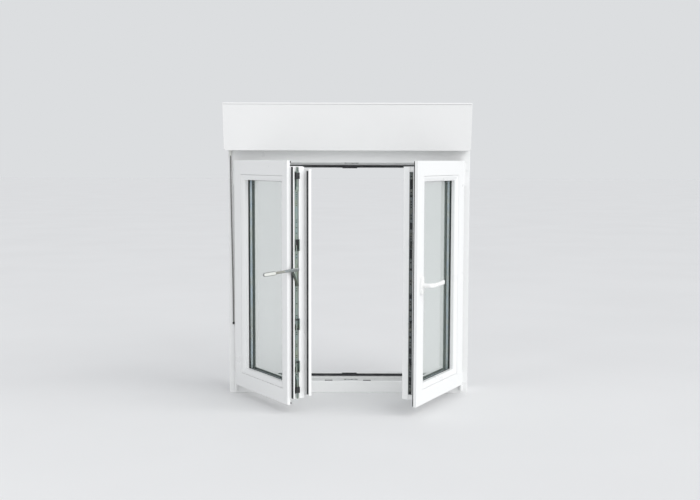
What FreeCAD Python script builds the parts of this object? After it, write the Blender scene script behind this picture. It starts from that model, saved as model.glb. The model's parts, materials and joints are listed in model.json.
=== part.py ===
import FreeCAD, Part
import math
import os

import Sketcher

# Two-leaf casement window with a roller-shutter box. X runs along the width, Y from the room to the
# outside and Z up. The origin is the middle of the sill's bottom face. Lengths are in millimetres.
DIMENSIONS = {
    # outer frame section: a face towards the room and an upstand behind it
    "frame_width": 1000, "frame_height": 1015, "frame_depth": 80, "frame_face": 50,
    "upstand_rise": 22, "upstand_depth": 23, "profile_wall": 4,
    "fixing_spacing": 700, "fixing_radius": 3.75, "fixing_y": -20,
    # sash section, measured inwards from the edge of its overlapping lip
    "lip_gap": 5, "lip_depth": 13, "lip_reach": 22, "body_gap": 12, "sash_depth": 70,
    "stile_face": 58, "bead_width": 22, "flange_depth": 16, "bead_joint": 0.8, "bead_step": 1.4,
    # where the two leaves meet
    "passive_edge": -12, "leaf_clearance": 2, "step_seal": 2,
    # double glazing
    "pane": 4, "cavity": 16, "glass_setback": 27, "glass_edge": 4, "spacer_width": 7,
    "bead_seal": 3, "seal_width": 8, "corner_round": 3, "edge_round": 1.5,
    # hinges: the axis measured in from the frame's outer edge and out from its room face
    "hinge_inset": 28, "hinge_proud": 8, "knuckle_radius": 6, "pin_radius": 3.5,
    "running_fit": 0.05, "left_open": 57.6, "right_open": 62.4,
    # edge hardware
    "plate_width": 16, "plate_front": 11, "plate_thickness": 2.5, "gear_travel": 18,
    "cam_radius": 3.5, "bolt_radius": 3.5, "bolt_offset": 12.8, "striker_length": 44,
    # passive leaf's fold-out lever and active leaf's handle
    "lever_height": 562, "lever_length": 142, "lever_droop": 5, "link_arm": 22, "link_drop": 60,
    "link_pin": 2.5,
    "handle_height": 505, "handle_inset": 35, "handle_length": 115, "handle_proud": 50,
    # shutter box, curtain and guides
    "box_left": 507, "box_right": 493, "box_height": 190, "box_top_front": 172,
    "box_bottom_front": 132, "box_back": 85, "box_wall": 8, "box_end": 4, "box_corner": 8,
    "lid_thickness": 6, "seam": 0.8, "tube_radius": 30, "tube_wall": 2, "roll_radius": 72,
    "tube_back": -14, "curtain_gap": 0.5, "curtain_depth": 7.5, "bar_height": 50, "bar_overlap": 5,
    "guide_width": 53, "guide_depth": 45, "slot_front": 16, "slot_width": 14, "slot_depth": 28,
    # the lead that hangs from the box's underside
    "lead_radius": 2.5, "lead_front": 7, "gland_length": 22, "lead_cap_length": 10,
}

# Points that the lead's centre line passes near: distance left of the window's middle, and height.
LEAD_ROUTE = [
    (489.4, 993), (489.4, 932), (489.0, 868), (488.2, 804), (487.3, 740), (486.3, 676),
    (485.2, 612), (484.2, 548), (483.3, 484), (482.6, 422), (482.1, 360), (481.8, 300),
]

doc = FreeCAD.newDocument("casement_window")
sheet = doc.addObject("Spreadsheet::Sheet", "Sizes")
nodes = {}


class Size:
    """A number together with the sheet expression that it comes from."""

    def __init__(self, text, number):
        self.text = text
        self.number = float(number)

    def join(self, sign, other, number):
        return Size(f"({self.text} {sign} {other.text})", number)

    def __add__(self, other):
        other = size(other)
        return self.join("+", other, self.number + other.number)

    def __sub__(self, other):
        other = size(other)
        return self.join("-", other, self.number - other.number)

    def __mul__(self, other):
        other = size(other)
        return self.join("*", other, self.number * other.number)

    def __truediv__(self, other):
        other = size(other)
        return self.join("/", other, self.number / other.number)

    def __neg__(self):
        return Size(f"(0 - {self.text})", -self.number)

    def __radd__(self, other):
        return size(other) + self

    def __rsub__(self, other):
        return size(other) - self

    __rmul__ = __mul__


def size(value):
    """A Size as it is, or a plain number made into one."""
    return value if isinstance(value, Size) else Size(f"({value:g})", value)


def fill_sheet():
    """One row for each driving dimension: its name, its value and its alias."""
    for row, (alias, number) in enumerate(DIMENSIONS.items(), start=1):
        sheet.set(f"A{row}", alias)
        sheet.set(f"B{row}", f"{number}")
        sheet.setAlias(f"B{row}", alias)
    doc.recompute()


fill_sheet()
D = {alias: Size(f"Sizes.{alias}", sheet.get(alias)) for alias in DIMENSIONS}


# ---------------------------------------------------------------- places worked out from the sheet
HALF_W = D["frame_width"] / 2
HALF_H = D["frame_height"] / 2
FRONT = -(D["frame_depth"] / 2)
BACK = D["frame_depth"] / 2
REBATE = BACK - D["upstand_depth"]
FRAME_IN = D["frame_face"] + D["upstand_rise"]
LIP_BACK = FRONT - D["lip_gap"]
SASH_FRONT = LIP_BACK - D["lip_depth"]
SASH_BACK = SASH_FRONT + D["sash_depth"]
BODY_EDGE = D["frame_face"] + D["body_gap"]
LIP_EDGE = BODY_EDGE - D["lip_reach"]
SASH_FACE = D["stile_face"] + D["bead_width"]
CHAMBER_START = D["profile_wall"] + 1
LEAF_WIDTH = HALF_W - LIP_EDGE + D["passive_edge"] + D["lip_reach"]
LEAF_HEIGHT = D["frame_height"] - 2 * LIP_EDGE
LEAF_MIDDLE = (D["passive_edge"] + D["lip_reach"] - HALF_W + LIP_EDGE) / 2
ACTIVE_LIP = D["passive_edge"] + D["leaf_clearance"]
ACTIVE_EDGE = ACTIVE_LIP + D["lip_reach"]
GLASS_FRONT = SASH_FRONT + D["glass_setback"]
GLASS_BACK = GLASS_FRONT + 2 * D["pane"] + D["cavity"]
FLANGE_FRONT = SASH_BACK - D["flange_depth"]
PLATE_FRONT = FRONT + D["plate_front"]
PLATE_BACK = PLATE_FRONT + D["plate_width"]
PLATE_MID = PLATE_FRONT + D["plate_width"] / 2
HINGE_X = HALF_W - D["hinge_inset"]
HINGE_Y = FRONT - D["hinge_proud"]
BOX_TOP = D["frame_height"] + D["box_height"]
CURTAIN_FRONT = D["tube_back"] + D["roll_radius"] + D["curtain_gap"]
CURTAIN_BACK = CURTAIN_FRONT + D["curtain_depth"]
TUBE_Z = D["frame_height"] + D["box_height"] / 2


# ---------------------------------------------------------------- ways of making a piece
def new_body(label):
    body = doc.addObject("PartDesign::Body", label)
    body.Label = label
    return body


def bind(target, path, value):
    target.setExpression(path, size(value).text)


def origin_plane(body, role):
    return next(f for f in body.Origin.OriginFeatures if f.Role == role)


def new_sketch(body, role, offset):
    """A sketch on one of the body's origin planes, moved along the plane's own normal."""
    sketch = body.newObject("Sketcher::SketchObject", "Sketch")
    sketch.AttachmentSupport = [(origin_plane(body, role), "")]
    sketch.MapMode = "FlatFace"
    bind(sketch, "AttachmentOffset.Base.z", offset)
    return sketch


def hold_point(sketch, item, point, x, y):
    """Two driving distances from the sketch's origin to one point."""
    for kind, value in (("DistanceX", x), ("DistanceY", y)):
        index = sketch.addConstraint(Sketcher.Constraint(kind, -1, 1, item, point, value.number))
        bind(sketch, f"Constraints[{index}]", value)


def draw_outline(sketch, points):
    """A closed outline of straight lines through the points."""
    points = [(size(x), size(y)) for x, y in points]
    corners = [FreeCAD.Vector(x.number, y.number, 0) for x, y in points]
    first = sketch.GeometryCount
    for start, end in zip(corners, corners[1:] + corners[:1]):
        sketch.addGeometry(Part.LineSegment(start, end), False)
    for i, (x, y) in enumerate(points):
        following = first + (i + 1) % len(points)
        sketch.addConstraint(Sketcher.Constraint("Coincident", first + i, 2, following, 1))
        hold_point(sketch, first + i, 1, x, y)


def draw_circle(sketch, x, y, radius):
    x, y, radius = size(x), size(y), size(radius)
    centre = FreeCAD.Vector(x.number, y.number, 0)
    item = sketch.addGeometry(Part.Circle(centre, FreeCAD.Vector(0, 0, 1), radius.number), False)
    hold_point(sketch, item, 3, x, y)
    index = sketch.addConstraint(Sketcher.Constraint("Radius", item, radius.number))
    bind(sketch, f"Constraints[{index}]", radius)


def rectangle(x0, y0, x1, y1):
    return [(x0, y0), (x1, y0), (x1, y1), (x0, y1)]


# The XZ plane's normal points along -Y, so a span in Y starts from its far end.
def span_start(role, low, high):
    return -size(high) if role == "XZ_Plane" else size(low)


def pad(body, role, outlines, low, high, circles=()):
    """Extrude outlines and circles drawn on one plane, from low to high along its axis."""
    sketch = new_sketch(body, role, span_start(role, low, high))
    for points in outlines:
        draw_outline(sketch, points)
    for circle in circles:
        draw_circle(sketch, *circle)
    feature = body.newObject("PartDesign::Pad", "Pad")
    feature.Profile = sketch
    bind(feature, "Length", size(high) - low)
    return feature


def pocket(body, role, outlines, low, high, circles=()):
    """Cut outlines and circles away between low and high, and check that something went."""
    doc.recompute()
    before = body.Shape.Volume
    start = -size(low) if role == "XZ_Plane" else size(high)
    sketch = new_sketch(body, role, start)
    for points in outlines:
        draw_outline(sketch, points)
    for circle in circles:
        draw_circle(sketch, *circle)
    feature = body.newObject("PartDesign::Pocket", "Pocket")
    feature.Profile = sketch
    bind(feature, "Length", size(high) - low)
    doc.recompute()
    if body.Shape.Volume > before - 0.01:
        raise RuntimeError(f"{body.Label}: a pocket cut nothing")
    return feature


def round_edges(body, direction, corners, radius):
    """Fillet the edges that run along direction through the given corners of the outline."""
    doc.recompute()
    feature = body.Tip
    wanted = [tuple(size(c).number for c in corner) for corner in corners]
    keep = [i for i in range(3) if not direction[i]]
    names = []
    for number, edge in enumerate(feature.Shape.Edges, start=1):
        if len(edge.Vertexes) != 2 or edge.Curve.TypeId != "Part::GeomLine":
            continue
        a, b = (v.Point for v in edge.Vertexes)
        if (b - a).cross(FreeCAD.Vector(*direction)).Length > 0.001:
            continue
        if any(math.dist([a[i] for i in keep], corner) < 0.01 for corner in wanted):
            names.append(f"Edge{number}")
    fillet = body.newObject("PartDesign::Fillet", "Fillet")
    fillet.Base = (feature, names)
    bind(fillet, "Radius", radius)
    body.Tip = fillet


def finish(label, piece, placement=None):
    """Name a piece as a node of the window and put it in place."""
    piece.Label = label
    if placement is not None:
        piece.Placement = placement
    nodes[label] = piece
    return piece


def block(label, x0, x1, y0, y1, z0, z1):
    """A rectangular piece between two corners."""
    body = new_body(label)
    pad(body, "XY_Plane", [rectangle(x0, y0, x1, y1)], z0, z1)
    return body


def gather(label, pieces, placement=None):
    """Several like solids that share one node."""
    compound = doc.addObject("Part::Compound", label)
    compound.Links = pieces
    return finish(label, compound, placement)


def turned(angle, x=0.0, y=0.0, z=0.0):
    """A placement turned about the Y axis."""
    return FreeCAD.Placement(
        FreeCAD.Vector(x, y, z), FreeCAD.Rotation(FreeCAD.Vector(0, 1, 0), angle)
    )


def leaf_placement(side):
    """How an open leaf's pieces are carried from closed to open, about their hinge."""
    left = side == "left"
    angle = -D["left_open"].number if left else D["right_open"].number
    axis = FreeCAD.Vector(-HINGE_X.number if left else HINGE_X.number, HINGE_Y.number, 0)
    turn = FreeCAD.Rotation(FreeCAD.Vector(0, 0, 1), angle)
    return FreeCAD.Placement(FreeCAD.Vector(0, 0, 0), turn, axis)


def place_on_leaf(side, piece):
    """Carry a piece that is drawn in the closed leaf to the open leaf."""
    piece.Placement = leaf_placement(side).multiply(piece.Placement)


LEAF_PIECES = {"left": [], "right": []}


def on_leaf(side, label, piece):
    """Register a piece drawn in the closed leaf; all are turned open at the end."""
    LEAF_PIECES[side].append(piece)
    return finish(label, piece)


# ---------------------------------------------------------------- mitred members
# A member is drawn as the bottom one of its ring: its section on the YZ plane with Z measured
# from the ring's middle, its length along X, and its ends mitred at 45 degrees.
def member(label, section, chambers, reach, span, rounds=()):
    body = new_body(label)
    outer = [(y, u - reach) for u, y in section]
    inner = [rectangle(y0, u0 - reach, y1, u1 - reach) for u0, y0, u1, y1 in chambers]
    pad(body, "YZ_Plane", [outer] + inner, -(span / 2), span / 2)
    for corners, radius in rounds:
        round_edges(body, (1, 0, 0), [(y, size(u - reach)) for u, y in corners], radius)
    deep, rise, past = size(100), size(120), size(2)
    ends = []
    for sign in (-1, 1):
        edge = size(sign) * span / 2
        beyond = edge + sign * past
        ends.append([
            (beyond, -reach - past), (beyond, rise - reach), (edge - sign * rise, rise - reach),
        ])
    pocket(body, "XZ_Plane", ends, -deep, deep)
    return body


FRAME_SECTION = [
    (size(0), FRONT), (D["frame_face"], FRONT), (D["frame_face"], REBATE), (FRAME_IN, REBATE),
    (FRAME_IN, BACK), (size(0), BACK),
]


def frame_member(label, reach, span):
    wall = D["profile_wall"]
    chambers = [
        (wall, FRONT + wall, D["frame_face"] - wall, -D["profile_wall"] / 2),
        (wall, wall / 2, D["frame_face"] - wall, BACK - wall),
        (D["frame_face"], REBATE + wall, FRAME_IN - wall, BACK - wall),
    ]
    rounds = [
        ([(D["frame_face"], FRONT), (FRAME_IN, BACK)], D["corner_round"]),
        ([(FRAME_IN, REBATE)], D["edge_round"]),
    ]
    return member(label, FRAME_SECTION, chambers, reach, span, rounds)


def make_frame():
    middle = HALF_H.number
    sill = frame_member("frame_sill", HALF_H, D["frame_width"])
    slot_half, slot_front, slot_back = size(14.5), FRONT + 4.5, FRONT + 9.5
    slots = [rectangle(x - slot_half, slot_front, x + slot_half, slot_back) for x in (-84, 77)]
    top = D["frame_face"] - HALF_H
    pocket(sill, "XY_Plane", slots, top - D["profile_wall"] - 1, top + 1)
    head = frame_member("frame_head", HALF_H, D["frame_width"])
    hole = [(D["passive_edge"] + D["bolt_offset"], PLATE_MID, D["bolt_radius"] + 1)]
    pocket(sill, "XY_Plane", [], top - 20, top + 1, hole)
    # the head is drawn upside down, so its hole is mirrored in X
    flipped = [(-hole[0][0], PLATE_MID, D["bolt_radius"] + 1)]
    pocket(head, "XY_Plane", [], top - 20, top + 1, flipped)
    finish("frame_sill", sill, turned(0, z=middle))
    finish("frame_head", head, turned(180, z=middle))
    jambs = []
    for label, angle in (("jamb_left", 90), ("jamb_right", -90)):
        jamb = frame_member(label, HALF_W, D["frame_height"])
        reach = D["fixing_spacing"] / 2
        fixings = [(x, D["fixing_y"], D["fixing_radius"]) for x in (-reach, reach)]
        low = -HALF_W
        pocket(jamb, "XY_Plane", [], low - 1, low + D["frame_face"] + 1, fixings)
        jamb.Placement = turned(angle, z=middle)
        jambs.append(jamb)
    gather("frame_jambs", jambs)


def ring(body, inset, width, y0, y1, half_w, z0, z1, middle=0):
    """A flat rectangular ring: the outline inset from a leaf or frame, extruded in Y."""
    outer = rectangle(middle - half_w + inset, z0 + inset, middle + half_w - inset, z1 - inset)
    inset = inset + width
    inner = rectangle(middle - half_w + inset, z0 + inset, middle + half_w - inset, z1 - inset)
    return pad(body, "XZ_Plane", [outer, inner], y0, y1)


def make_frame_fittings():
    gasket = new_body("frame_gasket")
    ring(gasket, size(60), size(10), REBATE - 4.6, REBATE, HALF_W, size(0), D["frame_height"])
    finish("frame_gasket", gasket)
    seal_in, seal_out = size(70.2), size(73.4)
    seal_low, seal_high = REBATE - 4.4, REBATE
    blocks = [
        block("seal_block_bottom", -28, 34, seal_low, seal_high, seal_in, seal_out),
        block("seal_block_top", -28, 34, seal_low, seal_high,
              D["frame_height"] - seal_out, D["frame_height"] - seal_in),
    ]
    gather("centre_seal_blocks", blocks)
    plates = []
    for name, low in (("bottom", D["frame_face"]), ("top", D["frame_height"] - D["frame_face"] - 2)):
        plate = new_body(f"keeper_{name}")
        bolt = (D["passive_edge"] + D["bolt_offset"], PLATE_MID, D["bolt_radius"] + 1)
        outline = rectangle(-20, PLATE_FRONT, 40, PLATE_BACK)
        pad(plate, "XY_Plane", [outline], low, low + 2, [bolt])
        plates.append(plate)
    gather("centre_keepers", plates)


# ---------------------------------------------------------------- leaves
def sash_section(lip=True, groove=False):
    """The sash section as (inwards, depth) points from the lip's edge round to the flange."""
    reach, face = D["lip_reach"], D["stile_face"]
    points = [(size(0), SASH_FRONT)] if lip else [(reach, SASH_FRONT)]
    points += [(face, SASH_FRONT), (face, FLANGE_FRONT), (SASH_FACE, FLANGE_FRONT)]
    points += [(SASH_FACE, SASH_BACK), (reach, SASH_BACK)]
    if groove:
        bottom = reach + D["plate_thickness"] + 0.5
        points += [(reach, PLATE_BACK), (bottom, PLATE_BACK), (bottom, PLATE_FRONT)]
        points += [(reach, PLATE_FRONT)]
    if lip:
        points += [(reach, LIP_BACK), (size(0), LIP_BACK)]
    return points


def sash_member(label, reach, span, lip=True, groove=False):
    wall = D["profile_wall"]
    inner = D["lip_reach"] + CHAMBER_START
    chambers = [
        (inner, SASH_FRONT + wall, D["stile_face"] - wall, FLANGE_FRONT - wall),
        (inner, FLANGE_FRONT, SASH_FACE - wall, SASH_BACK - wall),
    ]
    soft = [(D["stile_face"], SASH_FRONT), (SASH_FACE, SASH_BACK), (D["lip_reach"], SASH_BACK)]
    soft += [(size(0), SASH_FRONT)] if lip else []
    rounds = [(soft, D["edge_round"])]
    if not lip:
        rounds.append(([(D["lip_reach"], SASH_FRONT)], D["corner_round"]))
    return member(label, sash_section(lip, groove), chambers, reach, span, rounds)


def make_leaf_frame(side):
    left = side == "left"
    across = LEAF_MIDDLE.number if left else -LEAF_MIDDLE.number
    middle = HALF_H.number
    half_h, half_w = LEAF_HEIGHT / 2, LEAF_WIDTH / 2
    for name, angle in (("bottom_rail", 0), ("top_rail", 180)):
        label = f"{side}_{name}"
        rail = sash_member(label, half_h, LEAF_WIDTH)
        if left:
            # the rails of the leaf that closes first stop square at the meeting edge
            turn = 1 if angle == 0 else -1
            stop = turn * (half_w - D["lip_reach"])
            far = turn * (half_w + 1)
            ends = rectangle(stop, -half_h - 1, far, -half_h + SASH_FACE)
            pocket(rail, "XZ_Plane", [ends], size(-200), size(200))
        rail.Placement = turned(angle, across, 0, middle)
        on_leaf(side, label, rail)
    hinge = sash_member(f"{side}_hinge_stile", half_w, LEAF_HEIGHT)
    hinge.Placement = turned(90 if left else -90, across, 0, middle)
    on_leaf(side, f"{side}_hinge_stile", hinge)
    lock = sash_member(f"{side}_lock_stile", half_w, LEAF_HEIGHT, lip=not left, groove=not left)
    if not left:
        spindle = (HALF_H - D["handle_height"], D["handle_inset"] - half_w, size(5.5))
        pocket(lock, "XZ_Plane", [], SASH_FRONT - 1, SASH_FRONT + 10, [spindle])
        slots = []
        for height in STRIKER_HEIGHTS:
            centre = HALF_H - height - CAM_LIFT + D["gear_travel"] / 2
            half = D["gear_travel"] / 2 + 6
            slots.append(rectangle(centre - half, PLATE_MID - 4.2, centre + half, PLATE_MID + 4.2))
        edge = D["lip_reach"] - half_w
        pocket(lock, "XY_Plane", slots, edge + 1, edge + 7)
    lock.Placement = turned(-90 if left else 90, across, 0, middle)
    on_leaf(side, f"{side}_lock_stile", lock)


def make_beads(side):
    """Four mitred glazing beads with a sloped room face."""
    left = side == "left"
    across = LEAF_MIDDLE.number if left else -LEAF_MIDDLE.number
    start, end = D["stile_face"] + D["bead_joint"], SASH_FACE
    top, back = SASH_FRONT + D["bead_step"], GLASS_FRONT - D["bead_seal"]
    section = [
        (start, top + 0.8), (start + 1.5, top), (start + 6, top + 0.6), (end - 3, top + 6),
        (end, top + 9), (end, back), (start, back),
    ]
    pieces = []
    for angle in (0, 90, 180, 270):
        upright = angle in (90, 270)
        reach = (LEAF_WIDTH if upright else LEAF_HEIGHT) / 2
        span = LEAF_HEIGHT if upright else LEAF_WIDTH
        bead = member(f"{side}_bead_{angle}", section, [], reach, span)
        bead.Placement = turned(angle, across, 0, HALF_H.number)
        pieces.append(bead)
    on_leaf(side, f"{side}_glazing_beads", gather(f"{side}_glazing_beads", pieces))


def leaf_limits(side):
    """Middle and half width of a leaf's ring, and its lowest and highest lip edges."""
    middle = LEAF_MIDDLE if side == "left" else -LEAF_MIDDLE
    return middle, LEAF_WIDTH / 2, LIP_EDGE, D["frame_height"] - LIP_EDGE


def make_glazing(side):
    middle, half_w, low, high = leaf_limits(side)
    edge = D["stile_face"] + D["glass_edge"]
    panes = []
    for name, front in (("inner", GLASS_FRONT), ("outer", GLASS_BACK - D["pane"])):
        outline = rectangle(middle - half_w + edge, low + edge, middle + half_w - edge, high - edge)
        pane = new_body(f"{side}_pane_{name}")
        pad(pane, "XZ_Plane", [outline], front, front + D["pane"])
        panes.append(pane)
    on_leaf(side, f"{side}_glass_panes", gather(f"{side}_glass_panes", panes))
    spacer = new_body(f"{side}_spacer")
    front = GLASS_FRONT + D["pane"]
    ring(spacer, SASH_FACE - D["spacer_width"] - 4, D["spacer_width"], front,
         front + D["cavity"], half_w, low, high, middle)
    on_leaf(side, f"{side}_spacer", spacer)
    seals = []
    spans = ((GLASS_FRONT - D["bead_seal"], GLASS_FRONT), (GLASS_BACK, FLANGE_FRONT))
    for name, (y0, y1) in zip(("room", "outer"), spans):
        seal = new_body(f"{side}_glass_seal_{name}")
        ring(seal, SASH_FACE - D["seal_width"], D["seal_width"] + 0.6, y0, y1,
             half_w, low, high, middle)
        seals.append(seal)
    lip = new_body(f"{side}_lip_seal")
    if side == "right":
        ring(lip, size(2), size(7), LIP_BACK, FRONT - 0.5, half_w, low, high, middle)
    else:
        x0, x1, end = middle - half_w + 2, middle - half_w + 9, D["passive_edge"]
        u_shape = [
            (end, low + 2), (x0, low + 2), (x0, high - 2), (end, high - 2),
            (end, high - 9), (x1, high - 9), (x1, low + 9), (end, low + 9),
        ]
        pad(lip, "XZ_Plane", [u_shape], LIP_BACK, FRONT - 0.5)
    seals.append(lip)
    on_leaf(side, f"{side}_seals", gather(f"{side}_seals", seals))


# ---------------------------------------------------------------- hinges
# Each leaf turns on two pins: (bottom of the frame's knuckle, its top, sash knuckle's bottom, top).
HINGE_ROWS = {
    "bottom": (14, 40, 41, 92),
    "top": (937, 968, 872, 936),
}


def knuckle(label, sign, z0, z1, bore):
    body = new_body(label)
    centre = (sign * HINGE_X, HINGE_Y)
    pad(body, "XY_Plane", [], z0, z1, [(*centre, D["knuckle_radius"]), (*centre, bore)])
    return body


def add_box(body, x0, x1, y0, y1, z0, z1):
    pad(body, "XY_Plane", [rectangle(x0, y0, x1, y1)], z0, z1)


def make_hinges():
    bore = D["pin_radius"] + D["running_fit"]
    bearings, pins = [], []
    for side, sign in (("left", -1), ("right", 1)):
        arms = []
        for name, (low, high, sash_low, sash_high) in HINGE_ROWS.items():
            bearing = knuckle(f"{side}_{name}_bearing", sign, low, high, bore)
            web = [sign * (HINGE_X + d) for d in (-4, 4)]
            plate = [sign * (HALF_W - d) for d in (38, 4)]
            add_box(bearing, min_of(web), max_of(web), HINGE_Y + 4.8, FRONT, low, high)
            add_box(bearing, min_of(plate), max_of(plate), FRONT - 2, FRONT, low - 6, high + 6)
            bearings.append(bearing)
            arm = knuckle(f"{side}_{name}_arm", sign, sash_low, sash_high, bore)
            arm_span = [sign * (HINGE_X - 4.8), sign * (HALF_W - LIP_EDGE)]
            add_box(arm, min_of(arm_span), max_of(arm_span), HINGE_Y - 5, HINGE_Y + 2.5, sash_low, sash_high)
            arms.append(arm)
            pin = new_body(f"{side}_{name}_pin")
            first, last = (low - 2, sash_high) if name == "bottom" else (sash_low, high + 2)
            pad(pin, "XY_Plane", [], first, last, [(sign * HINGE_X, HINGE_Y, D["pin_radius"])])
            pins.append(pin)
        on_leaf(side, f"{side}_hinge_arms", gather(f"{side}_hinge_arms", arms))
    gather("hinge_bearings", bearings)
    gather("hinge_pins", pins)


def min_of(values):
    return min(values, key=lambda value: size(value).number)


def max_of(values):
    return max(values, key=lambda value: size(value).number)


# ---------------------------------------------------------------- meeting edge of the passive leaf
EDGE = D["passive_edge"]
PLATE_X = EDGE + 3
ROD_X = PLATE_X + D["plate_thickness"] + 0.2
STRIKER_X = ROD_X + 2.2
FLANGE_X = EDGE + 12
ARM_FRONT = SASH_BACK + 4.5
ARM_BACK = SASH_BACK + 18
ARM_TIP = EDGE + 34
BOLT_X = EDGE + D["bolt_offset"]
STRIKER_HEIGHTS = (188, 352, 655)


def make_astragal():
    """The floating mullion on the leaf that closes first, and its seal and end pieces."""
    low, high = BODY_EDGE + 2, D["frame_height"] - BODY_EDGE - 2
    room_face = FRONT + D["step_seal"]
    outline = [
        (EDGE, room_face), (FLANGE_X, room_face), (FLANGE_X, FRONT + 8), (PLATE_X, FRONT + 8),
        (PLATE_X, PLATE_BACK), (FLANGE_X, PLATE_BACK), (FLANGE_X, SASH_BACK - 2),
        (FLANGE_X - 4, SASH_BACK - 2), (FLANGE_X - 4, ARM_FRONT), (ARM_TIP, ARM_FRONT),
        (ARM_TIP, ARM_BACK), (EDGE - 22, ARM_BACK), (EDGE - 22, SASH_BACK), (EDGE, SASH_BACK),
    ]
    chamber = rectangle(EDGE - 18, ARM_FRONT + 3, ARM_TIP - 4, ARM_BACK - 3)
    astragal = new_body("astragal")
    pad(astragal, "XY_Plane", [outline, chamber], low, high)
    round_edges(astragal, (0, 0, 1), [(ARM_TIP, ARM_BACK), (EDGE - 22, ARM_BACK)], D["corner_round"])
    # the arm stops short of the frame's upstand at both ends
    arm_end = FRAME_IN + 6
    for z0, z1 in ((low - 1, arm_end), (D["frame_height"] - arm_end, high + 1)):
        pocket(astragal, "XY_Plane", [rectangle(EDGE - 23, SASH_BACK, ARM_TIP + 1, ARM_BACK + 1)], z0, z1)
    on_leaf("left", "astragal", astragal)
    seal = new_body("arm_seal")
    outline = rectangle(ARM_TIP - 9, SASH_BACK + 0.5, ARM_TIP - 1, ARM_FRONT)
    pad(seal, "XY_Plane", [outline], arm_end + 1, D["frame_height"] - arm_end - 1)
    step = block("step_seal", EDGE, FLANGE_X, FRONT, room_face, low, high)
    on_leaf("left", "astragal_seal", gather("astragal_seal", [seal, step]))
    caps = []
    for name, z0, z1 in (("low", arm_end - 5, arm_end), ("high", D["frame_height"] - arm_end,
                                                         D["frame_height"] - arm_end + 5)):
        cap = new_body(f"astragal_cap_{name}")
        outline = rectangle(EDGE - 22, SASH_BACK + 6, ARM_TIP, ARM_BACK - 0.5)
        pad(cap, "XY_Plane", [outline], z0, z1)
        caps.append(cap)
    on_leaf("left", "astragal_end_caps", gather("astragal_end_caps", caps))


def make_passive_plate():
    """The steel strip in the astragal's groove."""
    plate = new_body("passive_faceplate")
    outline = rectangle(PLATE_X, PLATE_FRONT, PLATE_X + D["plate_thickness"], PLATE_BACK)
    pad(plate, "XY_Plane", [outline], 82, D["frame_height"] - 82)
    on_leaf("left", "passive_faceplate", plate)


def make_strikers():
    """Hooked keepers that the other leaf's cams slide behind."""
    strikers = []
    half = D["striker_length"] / 2
    top_x = size(7)
    for height in STRIKER_HEIGHTS:
        striker = new_body(f"striker_{height}")
        add_box(striker, STRIKER_X, STRIKER_X + 3, PLATE_FRONT, PLATE_BACK, height - half, height + half)
        add_box(striker, STRIKER_X, top_x, PLATE_BACK - 3.8, PLATE_BACK, height - half, height + half)
        add_box(striker, STRIKER_X, top_x, PLATE_FRONT, PLATE_FRONT + 3.2, height - half, size(height))
        strikers.append(striker)
    on_leaf("left", "lock_strikers", gather("lock_strikers", strikers))


BOLT_GUIDES = ((906, 929), (86, 109))


def make_bolt_guides():
    guides = []
    for z0, z1 in BOLT_GUIDES:
        guide = new_body(f"bolt_guide_{z0}")
        outline = rectangle(STRIKER_X, PLATE_FRONT, size(6), PLATE_BACK)
        hole = (BOLT_X, PLATE_MID, D["bolt_radius"] + 0.3)
        pad(guide, "XY_Plane", [outline], z0, z1, [hole])
        guides.append(guide)
    on_leaf("left", "bolt_guides", gather("bolt_guides", guides))


def make_shoot_bolt(label, rod_low, rod_high, foot_low, foot_high, tip_low, tip_high):
    """A flat rod under the strikers, a foot on it and the round bolt that leaves the leaf."""
    bolt = new_body(label)
    rod_front, rod_back = PLATE_FRONT + 2, PLATE_BACK - 2
    add_box(bolt, ROD_X, ROD_X + 2, rod_front, rod_back, rod_low, rod_high)
    add_box(bolt, ROD_X, BOLT_X + 3, rod_front, rod_back, foot_low, foot_high)
    pad(bolt, "XY_Plane", [], tip_low, tip_high, [(BOLT_X, PLATE_MID, D["bolt_radius"])])
    on_leaf("left", label, bolt)


def drooped(piece):
    """Turn a lever piece about its pivot, from level to where it hangs."""
    pivot = FreeCAD.Vector(0, PLATE_MID.number, D["lever_height"].number)
    turn = FreeCAD.Rotation(FreeCAD.Vector(1, 0, 0), D["lever_droop"].number)
    piece.Placement = FreeCAD.Placement(FreeCAD.Vector(0, 0, 0), turn, pivot)


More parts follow.
